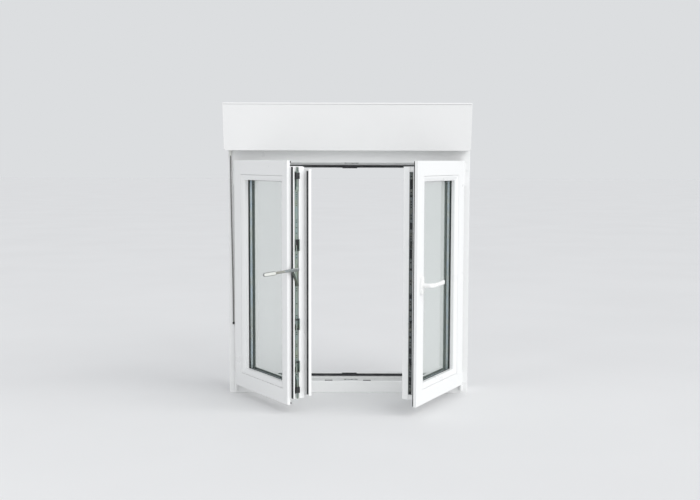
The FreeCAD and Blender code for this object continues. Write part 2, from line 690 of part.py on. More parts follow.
def make_lever():
    """The fold-out lever on the meeting edge: pivot boss, steel arm, grip and link."""
    height, mid = D["lever_height"], PLATE_MID
    boss_start = PLATE_X + D["plate_thickness"] + 0.2
    lever_front, lever_back = FLANGE_X + 2.6, FLANGE_X + 5
    gearbox = new_body("lever_gearbox")
    outline = rectangle(EDGE - 26, mid - 12, EDGE - CHAMBER_START, mid + 12)
    pad(gearbox, "XY_Plane", [outline], height - 60, height + 40)
    on_leaf("left", "lever_gearbox", gearbox)
    arm = new_body("shoot_bolt_lever")
    pad(arm, "YZ_Plane", [], boss_start, lever_back, [(mid, height, size(7))])
    reach = D["lever_length"]
    blade = [
        (mid, height + 7), (mid - 30, height + 6), (mid - reach, height + 4),
        (mid - reach, height - 4), (mid - 30, height - 6), (mid, height - 7),
    ]
    pad(arm, "YZ_Plane", [blade], lever_front, lever_back)
    link_front, link_back = FLANGE_X + 0.4, FLANGE_X + 2.2
    pin = (mid - D["link_arm"], height, D["link_pin"])
    pad(arm, "YZ_Plane", [], link_front, lever_front, [pin])
    drooped(arm)
    on_leaf("left", "shoot_bolt_lever", arm)
    grip = new_body("lever_grip")
    outline = [
        (mid - 93, height + 7), (mid - reach - 1, height + 8), (mid - reach - 6, height + 4),
        (mid - reach - 6, height - 4), (mid - reach - 1, height - 8), (mid - 93, height - 7),
    ]
    pad(grip, "YZ_Plane", [outline], lever_back, lever_back + 2.8)
    drooped(grip)
    on_leaf("left", "lever_grip", grip)
    droop = math.radians(D["lever_droop"].number)
    link_y, link_z = mid - D["link_arm"] * math.cos(droop), height - D["link_arm"] * math.sin(droop)
    foot = height - D["link_drop"]
    link = new_body("lever_link")
    bar = [
        (link_y - 5, link_z + 1), (link_y + 3, link_z + 5), (link_y + 9, link_z - 12),
        (mid + 5, foot - 3), (mid - 4, foot - 4), (link_y + 1, link_z - 16),
    ]
    pad(link, "YZ_Plane", [bar], link_front, link_back)
    pad(link, "YZ_Plane", [], link_front, link_back, [(link_y, link_z, size(6))])
    pad(link, "YZ_Plane", [], ROD_X + 2.4, link_back, [(mid, foot, size(4))])
    bore = (link_y, link_z, D["link_pin"] + D["running_fit"])
    pocket(link, "YZ_Plane", [], link_front - 1, link_back + 1, [bore])
    on_leaf("left", "lever_link", link)


# ---------------------------------------------------------------- meeting edge of the active leaf
CAM_LIFT = 10
CAM_FRONT = size(1.6)


def make_active_hardware():
    plate_x = ACTIVE_EDGE
    plate = new_body("active_faceplate")
    outline = rectangle(plate_x, PLATE_FRONT, plate_x + D["plate_thickness"], PLATE_BACK)
    pad(plate, "XY_Plane", [outline], 82, D["frame_height"] - 82)
    slots = []
    for height in STRIKER_HEIGHTS:
        low, high = height + CAM_LIFT - D["gear_travel"] - 6, height + CAM_LIFT + 6
        slots.append(rectangle(PLATE_MID - 4.2, low, PLATE_MID + 4.2, high))
    pocket(plate, "YZ_Plane", slots, plate_x - 1, plate_x + D["plate_thickness"] + 1)
    on_leaf("right", "active_faceplate", plate)
    bar = new_body("cam_bar")
    bar_x = plate_x + D["plate_thickness"] + 5.2
    add_box(bar, bar_x, bar_x + 2, PLATE_MID - 6, PLATE_MID + 6, 120, 740)
    cams = [(PLATE_MID, height + CAM_LIFT, D["cam_radius"]) for height in STRIKER_HEIGHTS]
    pad(bar, "YZ_Plane", [], CAM_FRONT, bar_x, cams)
    on_leaf("right", "cam_bar", bar)
    gearbox = new_body("handle_gearbox")
    front, back = SASH_FRONT + D["profile_wall"], FLANGE_FRONT - 10
    add_box(gearbox, bar_x + 3, bar_x + 22, front, back,
            D["handle_height"] - 45, D["handle_height"] + 45)
    hole = [(HANDLE_X, D["handle_height"], size(5.3))]
    pocket(gearbox, "XZ_Plane", [], front - 1, back + 1, hole)
    on_leaf("right", "handle_gearbox", gearbox)


HANDLE_X = ACTIVE_LIP + D["handle_inset"]


def make_handle():
    height = D["handle_height"]
    rosette = new_body("handle_rosette")
    outline = rectangle(HANDLE_X - 14, height - 36, HANDLE_X + 14, height + 36)
    pad(rosette, "XZ_Plane", [outline], SASH_FRONT - 10, SASH_FRONT, [(HANDLE_X, height, size(5.5))])
    round_edges(rosette, (0, 1, 0), [(HANDLE_X + a, height + b) for a in (-14, 14) for b in (-36, 36)],
                size(6))
    on_leaf("right", "handle_rosette", rosette)
    grip_front = SASH_FRONT - D["handle_proud"]
    lever = new_body("handle_lever")
    pad(lever, "XZ_Plane", [], grip_front + 4, SASH_FRONT - 10.3, [(HANDLE_X, height, size(9))])
    end = HANDLE_X + D["handle_length"]
    outline = [
        (HANDLE_X - 10, height + 7), (HANDLE_X + 8, height + 9.5), (end - 12, height + 9.5),
        (end, height + 6), (end, height - 6), (end - 12, height - 9.5), (HANDLE_X + 8, height - 9.5),
        (HANDLE_X - 10, height - 7),
    ]
    pad(lever, "XZ_Plane", [outline], grip_front, grip_front + 13)
    on_leaf("right", "handle_lever", lever)
    spindle = new_body("handle_spindle")
    half = size(3.5)
    outline = rectangle(HANDLE_X - half, height - half, HANDLE_X + half, height + half)
    pad(spindle, "XZ_Plane", [outline], SASH_FRONT - 10.3, PLATE_FRONT - 1)
    on_leaf("right", "handle_spindle", spindle)


# ---------------------------------------------------------------- shutter
BOX_X0, BOX_X1 = -D["box_left"], D["box_right"]
BOX_IN0, BOX_IN1 = BOX_X0 + D["box_end"], BOX_X1 - D["box_end"]


def make_box():
    low, high, wall = D["frame_height"], BOX_TOP, D["box_wall"]
    lid = high - D["lid_thickness"]
    front_low, front_high = -D["box_bottom_front"], -D["box_top_front"]
    profile = [(front_low, low), (front_high, high), (D["box_back"], high), (D["box_back"], low)]
    ends = []
    for side, x0, x1 in (("left", BOX_X0, BOX_IN0), ("right", BOX_IN1, BOX_X1)):
        end = new_body(f"box_end_{side}")
        pad(end, "YZ_Plane", [profile], x0, x1)
        round_edges(end, (1, 0, 0), [(front_low, low)], D["box_corner"])
        ends.append(end)
    gather("box_end_caps", ends)
    front = new_body("box_front")
    slope = (D["box_top_front"] - D["box_bottom_front"]) / D["box_height"]
    top = lid - D["seam"]
    panel = [
        (front_low, low), (-D["box_bottom_front"] - slope * (top - low), top),
        (-D["box_bottom_front"] - slope * (top - low) + wall, top), (front_low + wall, low),
    ]
    pad(front, "YZ_Plane", [panel], BOX_IN0, BOX_IN1)
    finish("box_front", front)
    finish("box_top", block("box_top", BOX_IN0, BOX_IN1, front_high, D["box_back"], lid, high))
    floor = block("box_bottom", BOX_IN0, BOX_IN1, front_low + wall + 0.3, BACK + 4, low, low + wall)
    finish("box_bottom", floor)
    back = block("box_back", BOX_IN0, BOX_IN1, D["box_back"] - wall, D["box_back"], low, lid)
    finish("box_back", back)


def make_roller():
    centre = (D["tube_back"], TUBE_Z)
    ends = []
    for name, x0, x1 in (("left", BOX_IN0, BOX_IN0 + 12), ("right", BOX_IN1 - 12, BOX_IN1)):
        bracket = new_body(f"tube_bracket_{name}")
        pad(bracket, "YZ_Plane", [], x0, x1, [(*centre, size(40))])
        ends.append(bracket)
    # the right bracket's stub carries the tube's free end
    idler = D["tube_radius"] - D["tube_wall"] - 0.5
    pad(ends[1], "YZ_Plane", [], BOX_IN1 - 36, BOX_IN1 - 12, [(*centre, idler)])
    gather("tube_brackets", ends)
    motor = new_body("tubular_motor")
    pad(motor, "YZ_Plane", [], BOX_IN0 + 12, BOX_IN0 + 480, [(*centre, size(22))])
    finish("tubular_motor", motor)
    tube = new_body("roller_tube")
    inner = D["tube_radius"] - D["tube_wall"]
    pad(tube, "YZ_Plane", [], BOX_IN0 + 16, BOX_IN1 - 16, [(*centre, D["tube_radius"]), (*centre, inner)])
    finish("roller_tube", tube)
    roll = new_body("curtain_roll")
    rings = [(*centre, D["roll_radius"]), (*centre, D["tube_radius"])]
    pad(roll, "YZ_Plane", [], -CURTAIN_END, CURTAIN_END, rings)
    finish("curtain_roll", roll)


CURTAIN_END = HALF_W - D["guide_width"] + 22


def make_curtain():
    bar_top = D["frame_height"] - D["bar_overlap"]
    bar_low = bar_top - D["bar_height"]
    curtain = block("shutter_curtain", -CURTAIN_END, CURTAIN_END, CURTAIN_FRONT, CURTAIN_BACK,
                    bar_top, TUBE_Z)
    finish("shutter_curtain", curtain)
    bar = block("shutter_bottom_bar", -CURTAIN_END, CURTAIN_END, CURTAIN_FRONT, CURTAIN_BACK,
                bar_low, bar_top)
    finish("shutter_bottom_bar", bar)


def make_guides():
    guides, brushes = [], []
    mouth = HALF_W - D["guide_width"]
    slot_front = BACK + D["slot_front"]
    slot_back = slot_front + D["slot_width"]
    for side, sign in (("left", -1), ("right", 1)):
        outer, inner, bottom = sign * HALF_W, sign * mouth, sign * (mouth + D["slot_depth"])
        outline = [
            (outer, BACK), (inner, BACK), (inner, slot_front), (bottom, slot_front),
            (bottom, slot_back), (inner, slot_back), (inner, BACK + D["guide_depth"]),
            (outer, BACK + D["guide_depth"]),
        ]
        guide = new_body(f"shutter_guide_{side}")
        pad(guide, "XY_Plane", [outline], 0, D["frame_height"] - 0.5)
        guides.append(guide)
        for y0, y1 in ((slot_front, CURTAIN_FRONT - 0.3), (CURTAIN_BACK + 0.3, slot_back)):
            xs = [sign * (mouth + 3), sign * (mouth + 9)]
            brushes.append(block(f"brush_{side}", min_of(xs), max_of(xs), y0, y1, 1, 1008))
    gather("shutter_guides", guides)
    gather("guide_brushes", brushes)


# ---------------------------------------------------------------- hanging lead
LEAD_Y = FRONT - D["lead_front"]


def rounded_path(points):
    """Straight runs joined by tangent arcs, each as large as its two runs allow."""
    edges, start = [], points[0]
    for before, corner, after in zip(points, points[1:], points[2:]):
        run = 0.45 * min((corner - before).Length, (after - corner).Length)
        enter = corner + (before - corner).normalize() * run
        leave = corner + (after - corner).normalize() * run
        half_turn = (corner - before).getAngle(after - corner) / 2
        radius = run / math.tan(half_turn)
        print(f"lead: radius {radius:.0f}")
        towards = ((enter + leave) * 0.5 - corner).normalize()
        middle = corner + towards * (radius / math.cos(half_turn) - radius)
        edges += [Part.LineSegment(start, enter).toShape(), Part.Arc(enter, middle, leave).toShape()]
        start = leave
    edges.append(Part.LineSegment(start, points[-1]).toShape())
    return Part.Wire(edges)


def make_lead():
    radius = D["lead_radius"].number
    points = [FreeCAD.Vector(-x, LEAD_Y.number, z) for x, z in LEAD_ROUTE]
    path = rounded_path(points)
    along = points[1] - points[0]
    circle = Part.Wire([Part.Circle(points[0], along, radius).toShape()])
    shape = path.makePipeShell([circle], True, True)
    expected = math.pi * radius**2 * path.Length
    print(f"lead: length {path.Length:.1f}, volume {shape.Volume:.0f}, expected {expected:.0f}")
    lead = doc.addObject("Part::Feature", "motor_lead")
    lead.Shape = shape
    finish("motor_lead", lead)
    gland = doc.addObject("Part::Cone", "lead_gland")
    bind(gland, "Radius1", D["lead_radius"] + 1)
    bind(gland, "Radius2", D["lead_radius"] + 3.5)
    bind(gland, "Height", D["gland_length"])
    top = LEAD_ROUTE[0]
    finish("lead_gland", gland, FreeCAD.Placement(
        FreeCAD.Vector(-top[0], LEAD_Y.number, D["frame_height"].number - D["gland_length"].number),
        FreeCAD.Rotation()))
    tip = points[-1] - points[-2]
    cap = doc.addObject("Part::Cylinder", "lead_end_cap")
    bind(cap, "Radius", D["lead_radius"] + 2)
    bind(cap, "Height", D["lead_cap_length"])
    turn = FreeCAD.Rotation(FreeCAD.Vector(0, 0, 1), tip)
    finish("lead_end_cap", cap, FreeCAD.Placement(points[-1], turn))


# ---------------------------------------------------------------- the whole window
def make_all():
    make_frame()
    make_frame_fittings()
    for side in ("left", "right"):
        make_leaf_frame(side)
        make_beads(side)
        make_glazing(side)
    make_hinges()
    make_astragal()
    make_passive_plate()
    make_strikers()
    make_bolt_guides()
    height = D["lever_height"]
    make_shoot_bolt("shoot_bolt_top", height + 20, 876, 864, 876, 876, 951)
    make_shoot_bolt("shoot_bolt_bottom", 138, height - D["link_drop"] + 12, 138, 150, 64, 138)
    make_lever()
    make_active_hardware()
    make_handle()
    make_box()
    make_roller()
    make_curtain()
    make_guides()
    make_lead()
    doc.recompute()
    for side, pieces in LEAF_PIECES.items():
        for piece in pieces:
            place_on_leaf(side, piece)
    doc.recompute()


def check_all():
    for item in doc.Objects:
        if "Invalid" in item.State or "Error" in item.State:
            raise RuntimeError(f"{item.Label} is in state {item.State}")
    for label, piece in nodes.items():
        if piece.Shape.isNull() or not piece.Shape.isValid():
            raise RuntimeError(f"{label} has no valid shape")


def export_all():
    os.makedirs("parts", exist_ok=True)
    for label, piece in nodes.items():
        piece.Shape.exportStep(f"parts/{label}.step")
        print(f"{label}: {piece.Shape.Volume / 1000:.1f} cm3, solids {len(piece.Shape.Solids)}")


make_all()
check_all()
export_all()
print(f"{len(nodes)} nodes")
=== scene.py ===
import json
import math

import bmesh
import bpy
from mathutils import Matrix, Vector


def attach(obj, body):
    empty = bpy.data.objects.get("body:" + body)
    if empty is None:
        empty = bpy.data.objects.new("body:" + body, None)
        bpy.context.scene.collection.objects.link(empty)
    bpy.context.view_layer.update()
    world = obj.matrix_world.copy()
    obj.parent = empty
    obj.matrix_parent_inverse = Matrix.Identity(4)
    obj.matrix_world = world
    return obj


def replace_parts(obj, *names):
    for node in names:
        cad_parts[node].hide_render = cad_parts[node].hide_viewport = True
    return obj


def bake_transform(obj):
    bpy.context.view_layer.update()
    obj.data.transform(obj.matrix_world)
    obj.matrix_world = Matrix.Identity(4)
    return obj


bl_info = {
    "name": "Casement window with shutter box",
    "version": (1, 0, 0),
    "blender": (4, 5, 0),
    "location": "View3D > Sidebar > Window",
    "description": "Finishes and small parts for a two-leaf window with a roller-shutter box",
    "category": "Add Mesh",
}

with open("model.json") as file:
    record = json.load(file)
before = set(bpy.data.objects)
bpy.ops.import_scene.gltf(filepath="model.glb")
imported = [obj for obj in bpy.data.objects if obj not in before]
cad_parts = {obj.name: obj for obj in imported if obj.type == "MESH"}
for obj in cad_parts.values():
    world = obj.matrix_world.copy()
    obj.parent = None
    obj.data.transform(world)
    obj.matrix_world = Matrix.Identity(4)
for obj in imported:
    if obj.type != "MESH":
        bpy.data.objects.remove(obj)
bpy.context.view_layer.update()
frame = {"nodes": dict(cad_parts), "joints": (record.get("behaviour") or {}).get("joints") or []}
NODES = frame["nodes"]
JOINTS = {joint["name"]: joint for joint in frame["joints"]}
MM = 0.001


# ---------------------------------------------------------------- places
# Leaf pieces are worked out with both leaves closed, in millimetres, then carried to the open leaf.
def leaf_matrix(side):
    """Carries a point of the closed leaf, in metres, to the leaf as it stands open."""
    joint = JOINTS[f"{side}_sash_turn"]
    hinge = Matrix.Translation(Vector(joint["pos_m"]))
    angle = math.radians(-joint["range_deg"][0])
    return hinge @ Matrix.Rotation(angle, 4, Vector(joint["axis"])) @ hinge.inverted()


LEAF = {"left": leaf_matrix("left"), "right": leaf_matrix("right")}
HALF_W, FRAME_TOP = 500, 1015
FACE, FRAME_FACE_Y = -58, -40
LEAF_LOW, LEAF_HIGH, LEAF_HALF_W = 40, 975, 235
LEAF_MIDDLE = {"left": -225, "right": 225}
PLATE_Y = -21
HINGE_X, HINGE_Y = 472, -48
LEVER_Z, HANDLE_Z, HANDLE_X = 562, 505, 25
LEVER_DROOP = 5


def leaf_ring(side, inset):
    """Limits across and upward of a rectangle set in from the edges of a closed leaf."""
    middle = LEAF_MIDDLE[side]
    return ((middle - LEAF_HALF_W + inset, middle + LEAF_HALF_W - inset),
            (LEAF_LOW + inset, LEAF_HIGH - inset))


# ---------------------------------------------------------------- mesh helpers
def soften(bm, verts, soft, segments):
    """Round every edge between some vertices."""
    edges = list({edge for vert in verts for edge in vert.link_edges})
    bmesh.ops.bevel(bm, geom=edges, offset=soft, segments=segments, profile=0.5, affect="EDGES")


def skin(bm, rings):
    """Put faces between neighbouring rings; a ring of one vertex is a tip."""
    for a, b in zip(rings, rings[1:]):
        steps = max(len(a), len(b))
        for i in range(steps):
            j = (i + 1) % steps
            corners = (a[i % len(a)], a[j % len(a)], b[j % len(b)], b[i % len(b)])
            bm.faces.new(list(dict.fromkeys(corners)))


def join_box(bm, x, y, z, soft=0.0, segments=2):
    """Add a box between pairs of millimetre limits, with rounded edges."""
    cube = bmesh.ops.create_cube(bm, size=1.0)["verts"]
    low = Vector((x[0], y[0], z[0]))
    wide = Vector((x[1] - x[0], y[1] - y[0], z[1] - z[0]))
    for vert in cube:
        vert.co = Vector([low[i] + (vert.co[i] + 0.5) * wide[i] for i in range(3)])
    if soft:
        soften(bm, cube, soft, segments)


def axis_frame(axis):
    """Two directions across an axis, then the axis itself."""
    x, y, z = Vector((1, 0, 0)), Vector((0, 1, 0)), Vector((0, 0, 1))
    return {"x": (y, z, x), "y": (z, x, y), "z": (x, y, z)}[axis]


def join_turned(bm, centre, axis, profile, steps=32):
    """Add a turned shape: profile is (radius, distance along the axis) from end to end."""
    u, v, along = axis_frame(axis)
    rings = []
    for radius, reach in profile:
        middle = Vector(centre) + along * reach
        if radius < 1e-6:
            rings.append([bm.verts.new(middle)])
            continue
        angles = [2 * math.pi * i / steps for i in range(steps)]
        rings.append([bm.verts.new(middle + radius * (math.cos(angle) * u + math.sin(angle) * v))
                      for angle in angles])
    skin(bm, rings)


def join_sleeve(bm, centre, inner, outer, low, high, soft=1.0):
    """Add an upright tube with rounded rims."""
    profile = [
        (inner, low), (outer - soft, low), (outer, low + soft), (outer, high - soft),
        (outer - soft, high), (inner, high), (inner, low),
    ]
    join_turned(bm, (centre[0], centre[1], 0), "z", profile, 40)


def join_sweep(bm, stations, steps, square_across, square_up):
    """Add a bar through stations of (centre, right, up, half width, half height).

    The two powers say how square each section is: 1 gives an ellipse, less gives fuller corners.
    """
    rings = []
    for centre, right, up, wide, tall in stations:
        ring = []
        for i in range(steps):
            angle = 2 * math.pi * i / steps
            c, s = math.cos(angle), math.sin(angle)
            a = math.copysign(abs(c) ** square_across, c) * wide
            b = math.copysign(abs(s) ** square_up, s) * tall
            ring.append(bm.verts.new(Vector(centre) + a * right + b * up))
        rings.append(ring)
    skin(bm, rings)
    bm.faces.new(list(reversed(rings[0])))
    bm.faces.new(rings[-1])


def join_prism(bm, outline, axis, low, high, soft=0.0, segments=2):
    """Add a straight prism over an outline across an axis, with rounded edges."""
    u, v, along = axis_frame(axis)
    lower = [bm.verts.new(u * a + v * b + along * low) for a, b in outline]
    upper = [bm.verts.new(u * a + v * b + along * high) for a, b in outline]
    skin(bm, [lower, upper])
    bm.faces.new(list(reversed(lower)))
    bm.faces.new(upper)
    if soft:
        soften(bm, lower + upper, soft, segments)


def join_ring_bead(bm, x, z, y, radius, steps=8):
    """Add a round bead that follows a rectangle, mitred at its corners."""
    corners = [(x[0], z[0], -1, -1), (x[1], z[0], 1, -1), (x[1], z[1], 1, 1), (x[0], z[1], -1, 1)]
    rings = []
    for cx, cz, sx, sz in corners:
        ring = []
        for i in range(steps):
            angle = 2 * math.pi * i / steps
            out = radius * math.cos(angle)
            ring.append(bm.verts.new((cx + sx * out, y + radius * math.sin(angle), cz + sz * out)))
        rings.append(ring)
    skin(bm, [*rings, rings[0]])


def added(name, data, body):
    """Put data in the scene as a named piece that rides on a body."""
    piece = bpy.data.objects.new(name, data)
    bpy.context.scene.collection.objects.link(piece)
    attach(piece, body)
    return piece


def finished(name, bm, finish, body, leaf=None, carry=None, angle=35):
    """Turn a millimetre mesh into a piece in its place, shaded smooth up to an edge angle."""
    bmesh.ops.remove_doubles(bm, verts=bm.verts, dist=0.0005)
    bmesh.ops.recalc_face_normals(bm, faces=bm.faces)
    mesh = bpy.data.meshes.new(name)
    bm.to_mesh(mesh)
    bm.free()
    place = LEAF[leaf] if leaf else Matrix.Identity(4)
    if carry is not None:
        place = place @ carry
    mesh.transform(place @ Matrix.Scale(MM, 4))
    mesh.shade_smooth()
    mesh.set_sharp_from_angle(angle=math.radians(angle))
    mesh.materials.append(FINISHES[finish])
    return added(name, mesh, body)


def on_leaves(ending, finish, fill):
    """Make the same piece on both leaves; fill adds its shapes for a side."""
    for side in ("left", "right"):
        bm = bmesh.new()
        fill(bm, side)
        finished(f"{side}_{ending}", bm, finish, f"{side}_sash", side)


# ---------------------------------------------------------------- finishes
FINISHES = {}


def feed(tree, value, socket):
    """Link an input to a socket, or else set it to a plain value."""
    if isinstance(value, bpy.types.NodeSocket):
        tree.links.new(value, socket)
    else:
        socket.default_value = value


def node(tree, kind, **values):
    """Add a node; set its properties, or feed its inputs, by name."""
    made = tree.nodes.new(kind)
    for key, value in values.items():
        if hasattr(made, key):
            setattr(made, key, value)
        else:
            feed(tree, value, made.inputs[key.replace("_", " ")])
    return made


def object_space(tree, scale=(1, 1, 1)):
    """The piece's own coordinates in metres, scaled."""
    coordinates = node(tree, "ShaderNodeTexCoord").outputs["Object"]
    return node(tree, "ShaderNodeMapping", Vector=coordinates, Scale=scale).outputs["Vector"]


def noise(tree, space, scale, detail=3.0, rough=0.5):
    """Noise over a space."""
    return node(tree, "ShaderNodeTexNoise", Vector=space, Scale=scale, Detail=detail,
                Roughness=rough).outputs["Fac"]


def spread(tree, value, low, high, start=0.3, end=0.7):
    """Map a value from start-end to low-high, and hold it there."""
    return node(tree, "ShaderNodeMapRange", Value=value, From_Min=start, From_Max=end, To_Min=low,
                To_Max=high).outputs["Result"]


def maths(tree, operation, *numbers):
    """The result of a sum over numbers and sockets."""
    made = node(tree, "ShaderNodeMath", operation=operation)
    for number, socket in zip(numbers, made.inputs):
        feed(tree, number, socket)
    return made.outputs[0]


def blended(tree, factor, first, second):
    """Mix two colours, each given as numbers or as a socket."""
    made = node(tree, "ShaderNodeMix", data_type="RGBA", Factor=factor)
    for name, colour in (("A", first), ("B", second)):
        if not isinstance(colour, bpy.types.NodeSocket):
            colour = (*colour[:3], 1)
        feed(tree, colour, made.inputs[name])
    return made.outputs["Result"]


def bumped(tree, height, strength, distance, **before):
    """A surface direction bent by a height, over an earlier Normal if given."""
    return node(tree, "ShaderNodeBump", Strength=strength, Distance=distance, Height=height,
                **before).outputs["Normal"]


def new_material(name, **values):
    """A material with inputs of its shader set by name."""
    material = bpy.data.materials.new(name)
    material.use_nodes = True
    return wired(material, **values), material.node_tree


def wired(material, **values):
    """Feed inputs of the material's shader by name."""
    shader = material.node_tree.nodes["Principled BSDF"]
    for key, value in values.items():
        feed(material.node_tree, value, shader.inputs[key.replace("_", " ")])
    return material


def shade(colour, factor):
    """A colour made darker or lighter."""
    return tuple(min(1.0, channel * factor) for channel in colour[:3])


def surface(name, colour, cloud, dark, gloss=None, grain=None, **sockets):
    """A cloudy colour, with roughness and grain from noise where they are given.

    cloud is (scale, detail), gloss (scale, detail, low, high), grain (scale, detail, strength,
    distance); dark says how much darker the clouds are.
    """
    material, tree = new_material(name, **sockets)
    space = object_space(tree)
    patches = spread(tree, noise(tree, space, *cloud), 0, 1)
    wired(material, Base_Color=blended(tree, patches, shade(colour, dark), colour))
    if gloss:
        wired(material, Roughness=spread(tree, noise(tree, space, *gloss[:2]), *gloss[2:]))
    if grain:
        wired(material, Normal=bumped(tree, noise(tree, space, *grain[:2]), *grain[2:]))
    return material


def window_plastic(name, colour, gloss, streak):
    """Welded window profile: near white, satin, with soft drawing lines along the extrusion."""
    material, tree = new_material(name, Specular_IOR_Level=0.5, Coat_Weight=0.12,
                                  Coat_Roughness=0.2)
    space = object_space(tree)
    cloud = spread(tree, noise(tree, space, 3.5, 4.0), 0, 1)
    base = blended(tree, cloud, shade(colour, 0.985), colour)
    dust = spread(tree, noise(tree, space, 160.0, 3.0, 0.5), 0, 1, 0.3, 0.8)
    rough = spread(tree, noise(tree, space, 9.0, 3.0), gloss - 0.03, gloss + 0.05)
    lines = bumped(tree, noise(tree, object_space(tree, streak), 1.0, 2.0), 0.05, 0.0002)
    return wired(material, Base_Color=blended(tree, dust, base, shade(colour, 0.99)),
                 Roughness=rough,
                 Normal=bumped(tree, noise(tree, space, 420.0, 2.0), 0.06, 0.0001,
                               Normal=lines))


def rubber(name, colour):
    """Extruded gasket: matt, faintly ribbed, with a dusty bloom."""
    material, tree = new_material(name, Specular_IOR_Level=0.35)
    space = object_space(tree)
    bloom = spread(tree, noise(tree, space, 45.0, 5.0, 0.6), 0, 1, 0.45, 0.75)
    dusty = [channel + 0.035 for channel in colour[:3]]
    return wired(material, Base_Color=blended(tree, bloom, colour, dusty),
                 Roughness=spread(tree, noise(tree, space, 90.0), 0.5, 0.75),
                 Normal=bumped(tree, noise(tree, space, 900.0, 2.0), 0.25, 0.0002))


def plated_steel(name, colour, rough, streak=(900, 900, 14)):
    """Zinc-plated strip: bluish and warm patches, rolled streaks and small dull spots."""
    material, tree = new_material(name, Metallic=1.0)
    space = object_space(tree)
    patches = spread(tree, noise(tree, space, 34.0, 4.0), 0, 1, 0.35, 0.65)
    cool = (colour[0] * 0.93, colour[1] * 0.98, colour[2] * 1.04)
    warm = (colour[0] * 1.05, colour[1] * 1.0, colour[2] * 0.9)
    base = blended(tree, patches, cool, warm)
    spots = spread(tree, noise(tree, space, 260.0, 3.0, 0.7), 0, 1, 0.6, 0.72)
    lines = noise(tree, object_space(tree, streak), 1.0, 3.0)
    return wired(material, Base_Color=blended(tree, spots, base, shade(colour, 0.72)),
                 Roughness=spread(tree, lines, rough - 0.08, rough + 0.14),
                 Normal=bumped(tree, lines, 0.2, 0.0001))


# Keeper colours: the sill keeper as lit, the head keeper darkened as painted shade under the
# shutter box.
KEEPER_LOW, KEEPER_HEAD_PAINTED_SHADE = (0.72, 0.73, 0.73), (0.16, 0.17, 0.17)


def keeper_steel_painted_shade(level):
    """Keeper steel: light on the sill, darkened on the head as painted shade from the box above,
    either side of a height in metres.
    """
    material = plated_steel("keeper_steel_painted_shade", (0.3, 0.3, 0.3), 0.5)
    tree = material.node_tree
    height = node(tree, "ShaderNodeSeparateXYZ", Vector=object_space(tree)).outputs["Z"]
    above = maths(tree, "GREATER_THAN", height, level)
    return wired(material, Base_Color=blended(tree, above, KEEPER_LOW, KEEPER_HEAD_PAINTED_SHADE))


def coated_metal(name, colour, rough, metallic=0.0):
    """Powder coat: fine orange peel over a smooth casting."""
    return surface(name, colour, (18.0, 3.0), 0.97, (30.0, 4.0, rough - 0.05, rough + 0.08),
                   (700.0, 2.0, 0.12, 0.0002), Metallic=metallic, Coat_Weight=0.3,
                   Coat_Roughness=0.14)


def moulded(name, colour, rough):
    """Moulded plastic with a fine spark-eroded texture."""
    return surface(name, colour, (70.0, 3.0), 0.9, (160.0, 3.0, rough - 0.08, rough + 0.1),
                   (1400.0, 2.0, 0.3, 0.0001), Specular_IOR_Level=0.45)


def float_glass(name, colour, cover):
    """Clear pane, faintly green, with very slight waviness."""
    material = surface(name, colour, (2.2, 2.0), 0.97, None, (5.0, 1.0, 0.04, 0.002), Alpha=cover,
                       Roughness=0.02, IOR=1.5, Specular_IOR_Level=0.7, Coat_Weight=0.6,
                       Coat_Roughness=0.01)
    material.surface_render_method = "BLENDED"
    return material


def ribbed(name, colour, pitch):
    """Slat skin: fine lengthwise ribs that catch the light."""
    material = surface(name, colour, (6.0, 3.0), 0.95, (40.0, 3.0, 0.38, 0.55))
    tree = material.node_tree
    wave = node(tree, "ShaderNodeTexWave", wave_type="BANDS", bands_direction="Z",
                Scale=1 / (pitch * 20), Distortion=0.0, Vector=object_space(tree))
    return wired(material, Normal=bumped(tree, wave.outputs["Fac"], 0.3, 0.0004))


def pile(name, colour):
    """Bristle pile: dark, sheeny and uneven."""
    material, tree = new_material(name, Sheen_Weight=0.4, Roughness=0.8)
    strands = noise(tree, object_space(tree, (1, 1, 0.2)), 1500.0, 3.0, 0.7)
    mix = blended(tree, spread(tree, strands, 0, 1), shade(colour, 0.5), shade(colour, 1.3))
    return wired(material, Base_Color=mix, Normal=bumped(tree, strands, 0.6, 0.0005))


# ---------------------------------------------------------------- add-on settings
def settings():
    """The values that the panel shows."""
    return bpy.context.scene.window_settings


def colour_setting(title, what, value):
    """A colour on the panel."""
    return bpy.props.FloatVectorProperty(
        name=title, description=what, subtype="COLOR", size=3, min=0, max=1, default=value)


def length_setting(title, what, value):
    """A length on the panel, in metres."""
    return bpy.props.FloatProperty(
        name=title, description=what, unit="LENGTH", min=0, default=value, precision=5)


class WindowSettings(bpy.types.PropertyGroup):
    """Colours and sizes that the makers use"""
    profile_colour: colour_setting("Profile", "Colour of the profiles", (0.87, 0.875, 0.87))
    box_colour: colour_setting("Box", "Colour of the shutter box panels", (0.815, 0.815, 0.81))
    rubber_colour: colour_setting("Gasket", "Colour of the gaskets", (0.022, 0.023, 0.026))
    steel_colour: colour_setting("Steel", "Colour of the plated edge hardware", (0.48, 0.5, 0.5))
    glass_colour: colour_setting("Glass", "Tint of the panes", (0.44, 0.55, 0.49))
    lead_colour: colour_setting("Lead", "Colour of the motor lead", (0.17, 0.17, 0.165))
    glass_cover: bpy.props.FloatProperty(
        name="Glass cover", description="How much of the view one pane hides", min=0, max=1,
        default=0.08)
    screw_radius: length_setting("Screw radius", "Radius of a countersunk screw head", 0.0034)
    slat_pitch: length_setting("Slat pitch", "Height of one shutter slat", 0.0443)
    bristle_gap: length_setting("Bristle gap", "Distance between two tufts of the brush", 0.004)
    weld_width: length_setting("Weld width", "Width of the welded seam at each corner", 0.0012)


# ---------------------------------------------------------------- camera, lead and finishes
CAMERA_LENS, CAMERA_PLACE = 54.72, (0.0035, -4.456, 0.986)
CAMERA_TILT, CAMERA_ROLL = 90 - 4.96, -0.15


